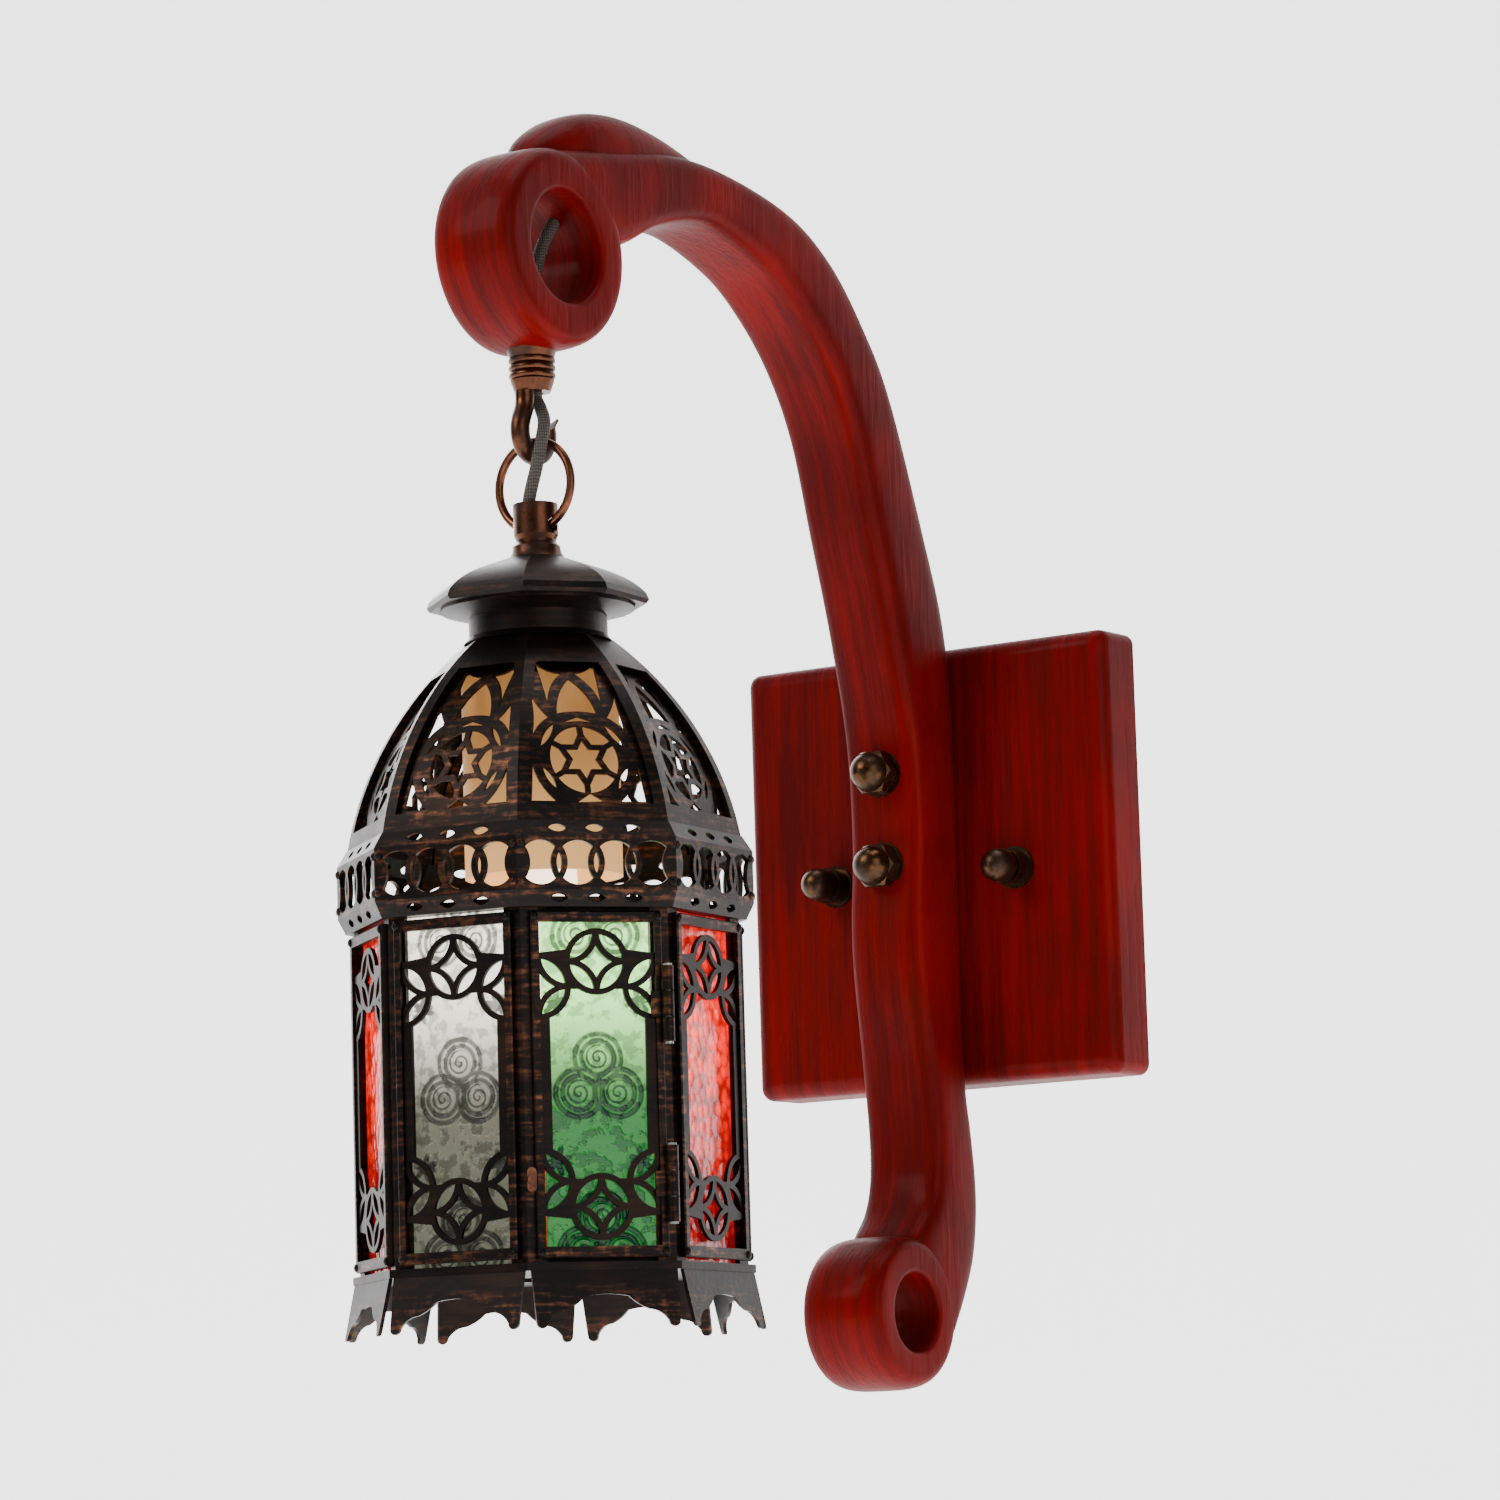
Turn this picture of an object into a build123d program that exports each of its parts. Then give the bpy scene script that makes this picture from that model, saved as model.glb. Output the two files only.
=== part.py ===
from build123d import *
from math import cos, radians, sin, sqrt, tan
import os

# Wall lantern: a carved wooden arm on a wooden wall plate carries an octagonal
# metal lantern with coloured glass, which hangs from a hook by a loose ring.
# Millimetres. +Z is up, the wall is the plane Y = 0, and the arm reaches towards -Y.

# ---- driving dimensions -------------------------------------------------------

# wall plate
plate_width = 180.0
plate_height = 184.0
plate_thickness = 26.0
plate_corner_radius = 5.0
plate_edge_radius = 7.0
pocket_width = 132.0
pocket_height = 124.0
pocket_depth = 13.0

# wall strap, and the studs that hold the plate on it
strap_length = 124.0
strap_height = 22.0
strap_thickness = 2.5
strap_height_on_wall = -4.0
wall_screw_spacing = 56.0
wall_screw_radius = 2.6
stud_spacing = 90.0
stud_radius = 3.0
stud_nut_radius = 7.5
stud_nut_length = 20.0
stud_washer_radius = 8.8

# arm
arm_width = 38.0
arm_edge_radius = 1.5
hole_edge_radius = 3.0
reach = 290.0
eye_height = 218.0
eye_radius = 39.5
eye_hole_radius = 22.0
tail_reach = 71.0
tail_height = -187.0
tail_radius = 31.5
tail_hole_radius = 16.0
crest_width = 24.0
crest_rise = 19.0
crest_length = 112.0
nut_seat_depth = 57.0

# arm bolts
bolt_radius = 4.0
bolt_heights = (37.0, -2.0)
bolt_head_radius = 8.0
bolt_head_height = 4.0
arm_nut_flats = 17.0
arm_nut_height = 7.0
arm_nut_dome = 8.5
washer_thickness = 1.5
washer_radius = 10.0

# flex
flex_radius = 2.5
flex_clearance = 0.5
flex_entry_height = 50.0

# nipple and hook under the eye
nipple_radius = 8.6
nipple_bottom = 163.0
nipple_foot_radius = 7.0
nipple_stem_radius = 6.0
nipple_flange_radius = 9.8
nipple_flange_height = 3.2
locknut_flats = 16.0
locknut_height = 4.0
locknut_sink = 2.0
flex_step = 2.0
hook_radius = 3.75
hook_step = 5.0
hook_tenon_radius = 2.0
hook_tenon_length = 6.0
hook_bowl_radius = 8.5
hook_bowl_height = 138.2
hook_tip_height = 154.5
hook_tip_reach = 15.5

# ring
ring_mean_radius = 17.2
ring_wire_radius = 1.7

# lantern: levels, and half widths across corners or radii
collar_top = 119.3
collar_radius = 8.6
collar_bore = 7.4
collar_foot = 98.0
collar_foot_radius = 10.9
tube_radius = 5.0
tube_bore = 3.2
tube_bottom = 46.0
tube_nut_flats = 14.0
tube_nut_height = 3.5
roof_rim = 79.0
roof_corner_radius = 43.0
roof_rim_height = 4.0
roof_sheet = 1.6
drum_radius = 26.6
drum_sheet = 1.5
dome_top = 65.0
dome_top_radius = 29.0
dome_base = -12.0
dome_corner_radius = 75.4
dome_shoulder_height = 30.0
dome_shoulder_radius = 59.6
rib_sheet = 2.2
panel_sheet = 1.2
rib_width = 8.5
crown_thickness = 3.0
body_top = -44.0
body_bottom = -174.0
body_corner_radius = 73.6
lantern_turn = 7.5
cornice_swell = 4.6
cornice_sheet = 1.8

# body panels
post_sheet = 2.0
post_flange = 7.0
grille_side_gap = 3.17
grille_rim = 2.9
grille_depth = 2.5
grille_relief = 1.0
fret_bar = 2.1
fret_radius = 11.2
fret_drop = 14.5
fret_side_drop = 9.2
fret_side_strip = 3.9
grille_end_gap = 1.5
glass_thickness = 2.0
glass_side_gap = 2.67
lip_sheet = 1.2
lip_height = 5.0
floor_thickness = 3.0
floor_overhang = 2.6
floor_hole_radius = 20.0
top_ring_thickness = 4.0

# door
door_glass_inset = 4.6
door_glass_height = 119.0
door_clip_width = 4.0
door_clip_reach = 3.0
door_clip_sheet = 1.0
door_clip_spacing = 24.0
door_hinge_stand_off = 2.4
hinge_barrel_radius = 2.3
hinge_pin_radius = 1.1
hinge_length = 28.0
hinge_side_step = 1.0
hinge_web = 2.0
hinge_head_radius = 1.7
hinge_head_height = 0.8
hinge_leaf_width = 5.0
hinge_leaf_sheet = 0.9
hinge_heights = (-80.0, -146.0)
latch_height = -144.0
latch_length = 9.0
latch_width = 3.6
latch_sheet = 1.2
latch_inset = 1.07
latch_rivet_radius = 1.0

# skirt
skirt_length = 21.0
skirt_sheet = 1.4
skirt_flare = 12.0
skirt_corner_gap = 1.5

# lamp
sleeve_radius = 30.0
sleeve_wall = 1.8
sleeve_bottom = -25.0
holder_radius = 20.0
holder_length = 52.0
holder_bore = 13.4
cap_radius = 13.3
cap_length = 27.0
globe_radius = 24.5
bulb_bottom = -90.0
glass_wall = 1.0

# clearances
hole_clearance = 0.3
seat_gap = 0.1
running_clearance = 0.05
moving_gap = 0.3

# ---- places worked out from the dimensions ------------------------------------

face_count = 8
face_step = 360.0 / face_count
half_step = face_step / 2
flat_ratio = cos(radians(half_step))
side_ratio = tan(radians(half_step))
tool_length = 60.0

plate_face = -plate_thickness
half_arm = arm_width / 2
post_face = body_corner_radius * flat_ratio
body_middle = (body_top + body_bottom) / 2
body_height = body_top - body_bottom
grille_height = body_height - 2 * grille_end_gap
face_width = 2 * post_face * side_ratio
grille_width = face_width - 2 * grille_side_gap
glass_width = face_width - 2 * glass_side_gap
door_glass_width = grille_width - 2 * door_glass_inset
latch_lateral = face_width / 2 - latch_inset
window_half_width = grille_width / 2 - grille_rim
window_half_height = grille_height / 2 - grille_rim - 1.2
glass_face = post_face - post_sheet - seat_gap
door_index = 1
channel_radius = flex_radius + flex_clearance
ring_inner_radius = ring_mean_radius - ring_wire_radius
ring_height = hook_bowl_height + hook_radius + running_clearance - ring_inner_radius
ring_bottom = ring_height - ring_mean_radius
holder_top = tube_bottom + 4.0
holder_bottom = holder_top - holder_length
eye_bottom = eye_height - eye_radius
flex_line = reach - flex_step

lantern_axis = Axis((0, -reach, 0), (0, 0, 1))


def level(height):
    """Horizontal plane on the lantern's axis."""
    return Plane(origin=(0, -reach, height), x_dir=(1, 0, 0), z_dir=(0, 0, 1))


def lantern_section():
    """Upright plane through the lantern's axis: x is the radius, y is the height."""
    return Plane(origin=(0, -reach, 0), x_dir=(1, 0, 0), z_dir=(0, -1, 0))


def outward(face):
    """Unit vector that points out of one face of the octagon."""
    angle = radians(lantern_turn + face * face_step)
    return Vector(sin(angle), -cos(angle), 0)


def sideways(face):
    """Unit vector along one face of the octagon, to the right from outside."""
    angle = radians(lantern_turn + face * face_step)
    return Vector(cos(angle), sin(angle), 0)


def face_plane(face, apothem, height=0.0):
    """Plane on one face of the octagon: x runs along the face, y is up."""
    origin = Vector(0, -reach, height) + outward(face) * apothem
    return Plane(origin=origin, x_dir=sideways(face), z_dir=outward(face))


def face_section(face):
    """Upright plane across one face: x is the distance from the axis, y is up."""
    return Plane(origin=(0, -reach, 0), x_dir=outward(face), z_dir=-sideways(face))


def wedge(face, margin=0.0):
    """Plan of the space that belongs to one face, drawn in from its corners."""
    far = 2 * dome_corner_radius
    start = margin / sin(radians(half_step))
    tip = Vector(0, -reach, 0) + outward(face) * start
    left = tip + outward(face) * far - sideways(face) * far * side_ratio
    right = tip + outward(face) * far + sideways(face) * far * side_ratio
    return Polyline((tip.X, tip.Y), (left.X, left.Y), (right.X, right.Y), close=True)


def octagon(corner_radius):
    """Octagon in plan, turned as the lantern is."""
    turn = lantern_turn - 90 - half_step
    return RegularPolygon(radius=corner_radius, side_count=face_count, rotation=turn)


def dome_side(outset=0.0):
    """Line of the dome's flats from base to top, at a distance from its outer side."""
    low = (dome_corner_radius * flat_ratio + outset, dome_base)
    middle = (dome_shoulder_radius * flat_ratio + outset, dome_shoulder_height + 0.5 * outset)
    high = (dome_top_radius * flat_ratio + outset, dome_top + outset)
    return ThreePointArc(low, middle, high)


def circle_through(first, second, third):
    """Centre and radius of the circle through three points."""
    (ax, ay), (bx, by), (cx, cy) = first, second, third
    twice = 2 * (ax * (by - cy) + bx * (cy - ay) + cx * (ay - by))
    a, b, c = ax * ax + ay * ay, bx * bx + by * by, cx * cx + cy * cy
    x = (a * (by - cy) + b * (cy - ay) + c * (ay - by)) / twice
    y = (a * (cx - bx) + b * (ax - cx) + c * (bx - ax)) / twice
    return x, y, sqrt((ax - x) ** 2 + (ay - y) ** 2)


dome_x, dome_y, dome_radius = circle_through(
    (dome_corner_radius * flat_ratio, dome_base),
    (dome_shoulder_radius * flat_ratio, dome_shoulder_height),
    (dome_top_radius * flat_ratio, dome_top),
)


def gore_half_width(height):
    """Half width of one flat of the dome at a height."""
    return (dome_x + sqrt(dome_radius**2 - (height - dome_y) ** 2)) * side_ratio


def curved_outline(points, bulges):
    """Closed outline whose sides bulge by the given amounts, 0 for a straight side."""
    ends = points[1:] + points[:1]
    for start, end, bulge in zip(points, ends, bulges):
        if bulge:
            SagittaArc(start, end, bulge)
        else:
            Line(start, end)


def both_sides(points, bulges):
    """The same outline and its mirror image."""
    mirrored = [(-x, y) for x, y in points]
    return (points, bulges), (mirrored, [-bulge for bulge in bulges])


os.makedirs("parts", exist_ok=True)

# ---- wall plate and what holds it ---------------------------------------------

stud_places = [(-stud_spacing / 2, 0), (stud_spacing / 2, 0)]
bolt_places = [(0, height) for height in bolt_heights]
front_side = Plane(origin=(0, 0, 0), x_dir=(1, 0, 0), z_dir=(0, -1, 0))
strap_plane = Plane(origin=(0, 0, strap_height_on_wall), x_dir=(1, 0, 0), z_dir=(0, -1, 0))

with BuildPart() as wall_plate:
    with BuildSketch(front_side):
        RectangleRounded(plate_width, plate_height, plate_corner_radius)
    extrude(amount=plate_thickness)
    front_edges = wall_plate.faces().sort_by(Axis.Y)[0].edges()
    fillet(front_edges, plate_edge_radius)
    with BuildSketch(strap_plane):
        RectangleRounded(pocket_width, pocket_height, plate_corner_radius)
    extrude(amount=pocket_depth, mode=Mode.SUBTRACT)
    with BuildSketch(strap_plane):
        with Locations(*stud_places):
            Circle(stud_radius + hole_clearance)
    extrude(amount=plate_thickness, mode=Mode.SUBTRACT)
    with BuildSketch(front_side):
        with Locations(*bolt_places):
            Circle(bolt_radius + hole_clearance)
        with Locations((0, flex_entry_height)):
            Circle(channel_radius)
    extrude(amount=plate_thickness, mode=Mode.SUBTRACT)
wall_plate.part.label = "wall_plate"
export_step(wall_plate.part, "parts/wall_plate.step")

with BuildPart() as wall_strap:
    with BuildSketch(strap_plane):
        SlotOverall(strap_length, strap_height)
        with Locations(*stud_places):
            Circle(stud_radius, mode=Mode.SUBTRACT)
        with Locations((-wall_screw_spacing / 2, 0), (wall_screw_spacing / 2, 0)):
            Circle(wall_screw_radius, mode=Mode.SUBTRACT)
    extrude(amount=strap_thickness)
wall_strap.part.label = "wall_strap"
export_step(wall_strap.part, "parts/wall_strap.step")

stud_length = plate_thickness + washer_thickness + stud_nut_length / 2

with BuildPart() as plate_studs:
    with BuildSketch(strap_plane):
        with Locations(*stud_places):
            Circle(stud_radius)
    extrude(amount=stud_length)
    chamfer(plate_studs.faces().sort_by(Axis.Y)[:2].edges(), 0.5)
plate_studs.part.label = "plate_studs"
export_step(plate_studs.part, "parts/plate_studs.step")


def dome_over(radius, start, height):
    """Side and rounded top of an acorn nut, from its edge to the axis."""
    rise = start + height - radius
    Line((radius, start), (radius, rise))
    middle = (radius / sqrt(2), rise + radius / sqrt(2))
    ThreePointArc((radius, rise), middle, (0, rise + radius))


nut_groove_top = stud_nut_length * 0.42
nut_groove_bottom = nut_groove_top - 1.4
nut_bore_end = stud_nut_length / 2 + hole_clearance

with BuildPart() as plate_nut:
    with BuildSketch(Plane.XZ):
        with BuildLine():
            Polyline(
                (stud_radius, 0),
                (stud_nut_radius, 0),
                (stud_nut_radius, nut_groove_bottom),
                (stud_nut_radius - 1.6, nut_groove_bottom),
                (stud_nut_radius - 1.6, nut_groove_top),
                (stud_nut_radius - 0.7, nut_groove_top),
            )
            dome_over(stud_nut_radius - 0.7, nut_groove_top, stud_nut_length - nut_groove_top)
            Polyline((0, stud_nut_length), (0, nut_bore_end), (stud_radius, nut_bore_end), (stud_radius, 0))
        make_face()
    revolve(axis=Axis.Z)

stud_seat = Plane(
    origin=(0, plate_face - washer_thickness, strap_height_on_wall), x_dir=(1, 0, 0), z_dir=(0, -1, 0)
)
with BuildPart() as plate_nuts:
    with Locations(stud_seat):
        with Locations(*stud_places):
            add(plate_nut.part)
plate_nuts.part.label = "plate_nuts"
export_step(plate_nuts.part, "parts/plate_nuts.step")

# ---- flex route inside the arm -------------------------------------------------

arm_route = [
    (-6.0, flex_entry_height),
    (-45.0, flex_entry_height + 1.0),
    (-50.0, 100.0),
    (-67.0, 158.0),
    (-90.0, 203.0),
    (-130.0, 238.0),
    (-185.0, 257.0),
    (-238.0, 251.0),
    (-272.0, 237.0),
    (-flex_line, 212.0),
    (-flex_line, nipple_bottom),
]


def bend_radii(route):
    """Largest radius that each corner's two runs leave room for."""
    points = [Vector(point) for point in route]
    radii = []
    for before, here, after in zip(points, points[1:], points[2:]):
        turn = (here - before).get_angle(after - here)
        run = min((here - before).length, (after - here).length)
        radii.append(0.45 * run / tan(radians(turn / 2)))
    return radii


arm_radii = bend_radii(arm_route)

# ---- arm -------------------------------------------------------------------------

back_low = -94.0
back_high = 90.0
outer_line = [
    (-31.0, 113.0),
    (-42.0, 138.0),
    (-65.0, 194.0),
    (-85.0, 223.0),
    (-107.0, 245.0),
    (-135.0, 259.5),
    (-177.0, 268.0),
    (-214.0, 269.5),
    (-262.0, 262.5),
]
inner_line = [
    (-222.0, 238.5),
    (-195.0, 244.5),
    (-170.0, 242.0),
    (-146.5, 231.0),
    (-122.0, 214.0),
    (-101.5, 191.0),
    (-89.5, 166.0),
    (-82.0, 136.0),
    (-73.0, 104.0),
    (-64.0, 76.0),
    (-58.0, 45.0),
    (-57.0, 18.0),
    (-59.0, -8.0),
    (-60.0, -36.0),
    (-56.0, -66.0),
    (-52.5, -96.0),
    (-51.5, -116.0),
    (-55.5, -134.0),
    (-64.0, -147.5),
]
tail_back = [
    (-22.5, -112.0),
    (-19.0, -134.0),
    (-19.5, -162.0),
    (-27.0, -187.0),
    (-43.0, -207.0),
]
eye_centre = (-reach, eye_height)
tail_centre = (-tail_reach, tail_height)
eye_cheek = (-reach + 26.0, eye_height - 22.0)
eye_crook = (-reach + 37.0, eye_height + 4.0)
crook_start = (-reach + 47.0, eye_height + 9.0)
crook_radius = 6.0
tail_top = (-tail_reach, tail_height + tail_radius)

with BuildPart() as crest:
    with BuildSketch(Plane.YZ):
        with BuildLine():
            ridge = Spline(
                (-reach - 2.0, eye_height + eye_radius - 2.0),
                (-reach + 8.5, eye_height + eye_radius + 10.0),
                (-reach + 24.0, eye_height + eye_radius + 16.5),
                (-reach + 46.0, eye_height + eye_radius + crest_rise),
                (-reach + 76.0, eye_height + eye_radius + crest_rise - 2.5),
                (-reach + crest_length, eye_height + eye_radius + 10.5),
            )
            Line(ridge @ 1, (-reach + crest_length, eye_height + eye_radius - 6.0))
            Line((-reach + crest_length, eye_height + eye_radius - 6.0), (-reach - 2.0, eye_height + 32.0))
            Line((-reach - 2.0, eye_height + 32.0), ridge @ 0)
        make_face()
    extrude(amount=crest_width / 2, both=True)
    ridge_edges = crest.edges().filter_by(GeomType.BSPLINE)
    fillet(ridge_edges, crest_width / 2 - 2.5)



def on_side(edge):
    """Whether an edge lies on one of the arm's flat sides."""
    return abs(edge.center().X) > half_arm - 1


with BuildPart() as arm:
    with BuildSketch(Plane.YZ) as arm_side:
        with BuildLine():
            Line((plate_face, back_low), (plate_face, back_high))
            Spline(
                (plate_face, back_high),
                *outer_line,
                (-reach, eye_height + eye_radius),
                tangents=[(0, 1), (-1, 0)],
            )
            ThreePointArc(
                (-reach, eye_height + eye_radius),
                (-reach - eye_radius, eye_height),
                (-reach, eye_bottom),
            )
            Spline((-reach, eye_bottom), eye_cheek, eye_crook, tangents=[(1, 0), (0.1, 1)])
            Line(eye_crook, crook_start)
            Spline(
                crook_start,
                *inner_line,
                tail_top,
                tangents=[(1, 0.5), (-1, 0)],
            )
            ThreePointArc(
                tail_top,
                (-tail_reach - tail_radius, tail_height),
                (-tail_reach, tail_height - tail_radius),
            )
            Spline(
                (-tail_reach, tail_height - tail_radius),
                *reversed(tail_back),
                (plate_face, back_low),
                tangents=[(1, 0), (0, 1)],
            )
        make_face()
        crook = arm_side.vertices().sort_by_distance(Vector(*eye_crook, 0))[:2]
        fillet(crook, crook_radius)
    extrude(amount=half_arm, both=True)
    side_edges = arm.edges().filter_by(on_side)
    fillet(side_edges.filter_by(lambda edge: edge.center().Y < plate_face - 1), arm_edge_radius)
    with BuildSketch(Plane.YZ):
        with Locations(eye_centre):
            Circle(eye_hole_radius)
        with Locations(tail_centre):
            Circle(tail_hole_radius)
    extrude(amount=half_arm, both=True, mode=Mode.SUBTRACT)
    rim_edges = arm.edges().filter_by(GeomType.CIRCLE).filter_by(on_side)
    fillet(rim_edges.filter_by(lambda edge: edge.radius < eye_hole_radius + 1), hole_edge_radius)
    add(crest.part)
    with BuildSketch(front_side):
        with Locations(*bolt_places):
            Circle(bolt_radius + hole_clearance)
    extrude(amount=plate_thickness + 2 * half_arm + tail_reach, mode=Mode.SUBTRACT)
    with BuildSketch(Plane(origin=(0, -nut_seat_depth, 0), x_dir=(1, 0, 0), z_dir=(0, -1, 0))):
        with Locations(*bolt_places):
            Circle(washer_radius + hole_clearance)
    extrude(amount=washer_radius, mode=Mode.SUBTRACT)
    with BuildLine(Plane.YZ) as arm_path:
        FilletPolyline(*arm_route, radius=arm_radii)
    with BuildSketch(Plane(origin=arm_path.line @ 0, z_dir=arm_path.line % 0)):
        Circle(channel_radius)
    sweep(path=arm_path.line, mode=Mode.SUBTRACT)
    with BuildSketch(level(eye_bottom - seat_gap)):
        Circle(nipple_stem_radius + hole_clearance)
    extrude(amount=eye_radius, mode=Mode.SUBTRACT)
    with BuildSketch(level(eye_bottom - eye_radius / 4)):
        Circle(nipple_flange_radius + hole_clearance)
    extrude(amount=eye_radius / 4 + 1.2, mode=Mode.SUBTRACT)
    with BuildSketch(level(eye_height - eye_hole_radius - locknut_sink)):
        Circle(locknut_flats * 0.6 + 1.0)
    extrude(amount=3 * locknut_sink, mode=Mode.SUBTRACT)
arm.part.label = "arm"
export_step(arm.part, "parts/arm.step")

with BuildPart() as flex_arm:
    with BuildLine(Plane.YZ) as flex_path:
        FilletPolyline(*arm_route, radius=arm_radii)
    with BuildSketch(Plane(origin=flex_path.line @ 0, z_dir=flex_path.line % 0)):
        Circle(flex_radius)
    sweep(path=flex_path.line)
flex_arm.part.label = "flex_arm"
export_step(flex_arm.part, "parts/flex_arm.step")

# ---- arm bolts, nuts and washers --------------------------------------------------

nut_seat = -(nut_seat_depth + washer_thickness)
bolt_tip = nut_seat - arm_nut_height

with BuildPart() as arm_bolts:
    with BuildSketch(front_side):
        with Locations(*bolt_places):
            Circle(bolt_radius)
    extrude(amount=-bolt_tip)
    split(bisect_by=Plane(origin=(0, -pocket_depth + bolt_head_height, 0), z_dir=(0, -1, 0)))
    with BuildSketch(Plane(origin=(0, -pocket_depth, 0), x_dir=(-1, 0, 0), z_dir=(0, 1, 0))):
        with Locations(*bolt_places):
            Circle(bolt_head_radius)
    extrude(amount=bolt_head_height)
    chamfer(arm_bolts.faces().sort_by(Axis.Y)[-2:].edges(), 1.0)
arm_bolts.part.label = "arm_bolts"
export_step(arm_bolts.part, "parts/arm_bolts.step")

arm_nut_edge = arm_nut_flats / 2
with BuildPart() as arm_nut:
    with BuildSketch(Plane.XY):
        RegularPolygon(radius=arm_nut_edge, side_count=6, major_radius=False)
    extrude(amount=arm_nut_height)
    with BuildSketch(Plane.XZ):
        with BuildLine():
            Polyline(
                (0, 0),
                (arm_nut_edge, 0),
                (arm_nut_edge + 1.3, 1.2),
                (arm_nut_edge + 1.3, arm_nut_height - 1.2),
                (arm_nut_edge, arm_nut_height),
                (0, arm_nut_height),
                close=True,
            )
        make_face()
    revolve(axis=Axis.Z, mode=Mode.INTERSECT)
    with BuildSketch(Plane.XZ):
        with BuildLine():
            Polyline((0, arm_nut_height - 1.0), (arm_nut_edge - 0.5, arm_nut_height - 1.0))
            Line((arm_nut_edge - 0.5, arm_nut_height - 1.0), (arm_nut_edge - 0.5, arm_nut_height))
            dome_over(arm_nut_edge - 0.5, arm_nut_height, arm_nut_dome)
            Line((0, arm_nut_height + arm_nut_dome), (0, arm_nut_height - 1.0))
        make_face()
    revolve(axis=Axis.Z)
    with BuildSketch(Plane.XY):
        Circle(bolt_radius)
    extrude(amount=arm_nut_height + hole_clearance, mode=Mode.SUBTRACT)

nut_plane = Plane(origin=(0, nut_seat, 0), x_dir=(1, 0, 0), z_dir=(0, -1, 0))
with BuildPart() as arm_nuts:
    with Locations(nut_plane):
        with Locations(*bolt_places):
            add(arm_nut.part)
arm_nuts.part.label = "arm_nuts"
export_step(arm_nuts.part, "parts/arm_nuts.step")

with BuildPart() as washers:
    with BuildSketch(Plane(origin=(0, -nut_seat_depth, 0), x_dir=(1, 0, 0), z_dir=(0, -1, 0))):
        with Locations(*bolt_places):
            Circle(washer_radius)
            Circle(bolt_radius + hole_clearance, mode=Mode.SUBTRACT)
    extrude(amount=washer_thickness)
    with BuildSketch(Plane(origin=(0, plate_face, strap_height_on_wall), x_dir=(1, 0, 0), z_dir=(0, -1, 0))):
        with Locations(*stud_places):
            Circle(stud_washer_radius)
            Circle(stud_radius + hole_clearance, mode=Mode.SUBTRACT)
    extrude(amount=washer_thickness)
washers.part.label = "washers"
export_step(washers.part, "parts/washers.step")

# ---- nipple, its locknut and the hook -----------------------------------------------

nipple_top = eye_bottom + 1.2
stem_top = eye_height - eye_hole_radius + locknut_height + 1.0
hook_line = -reach - hook_step

with BuildPart() as eye_nipple:
    with BuildSketch(lantern_section()):
        with BuildLine():
            ribs = 3
            rib_top = nipple_top - nipple_flange_height
            rib_pitch = 3.0
            Line((0, nipple_top), (nipple_flange_radius, nipple_top))
            Line((nipple_flange_radius, nipple_top), (nipple_radius, rib_top))
            for rib in range(ribs):
                high = rib_top - rib * rib_pitch
                ThreePointArc(
                    (nipple_radius, high),
                    (nipple_radius + 0.5, high - rib_pitch * 0.42),
                    (nipple_radius - 0.5, high - rib_pitch * 0.85),
                )
                Line((nipple_radius - 0.5, high - rib_pitch * 0.85), (nipple_radius, high - rib_pitch))
            taper_top = rib_top - ribs * rib_pitch
            Line((nipple_radius, taper_top), (nipple_foot_radius, nipple_bottom))
            Line((nipple_foot_radius, nipple_bottom), (0, nipple_bottom))
            Line((0, nipple_bottom), (0, nipple_top))
        make_face()
    revolve(axis=lantern_axis)
    with BuildSketch(level(nipple_top)):
        Circle(nipple_stem_radius)
    extrude(amount=stem_top - nipple_top)
    with BuildSketch(level(nipple_bottom)):
        with Locations((0, flex_step)):
            Circle(channel_radius)
        with Locations((0, -hook_step + 0.4)):
            Circle(hook_tenon_radius + running_clearance)
    extrude(amount=hook_tenon_length + 0.5, mode=Mode.SUBTRACT)
    with BuildSketch(level(nipple_bottom)):
        with Locations((0, flex_step)):
            Circle(channel_radius)
    extrude(amount=stem_top, mode=Mode.SUBTRACT)
eye_nipple.part.label = "eye_nipple"
export_step(eye_nipple.part, "parts/eye_nipple.step")

with BuildPart() as nipple_locknut:
    with BuildSketch(level(eye_height - eye_hole_radius - locknut_sink)):
        RegularPolygon(radius=locknut_flats / 2, side_count=6, major_radius=False)
        Circle(nipple_stem_radius, mode=Mode.SUBTRACT)
    extrude(amount=locknut_height)
    chamfer(nipple_locknut.faces().sort_by(Axis.Z)[-1].outer_wire().edges(), 0.6)
nipple_locknut.part.label = "nipple_locknut"
export_step(nipple_locknut.part, "parts/nipple_locknut.step")

bowl_centre = hook_bowl_height + hook_bowl_radius
tip_start = (-reach + hook_bowl_radius * cos(radians(20)), bowl_centre + hook_bowl_radius * sin(radians(20)))

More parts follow.
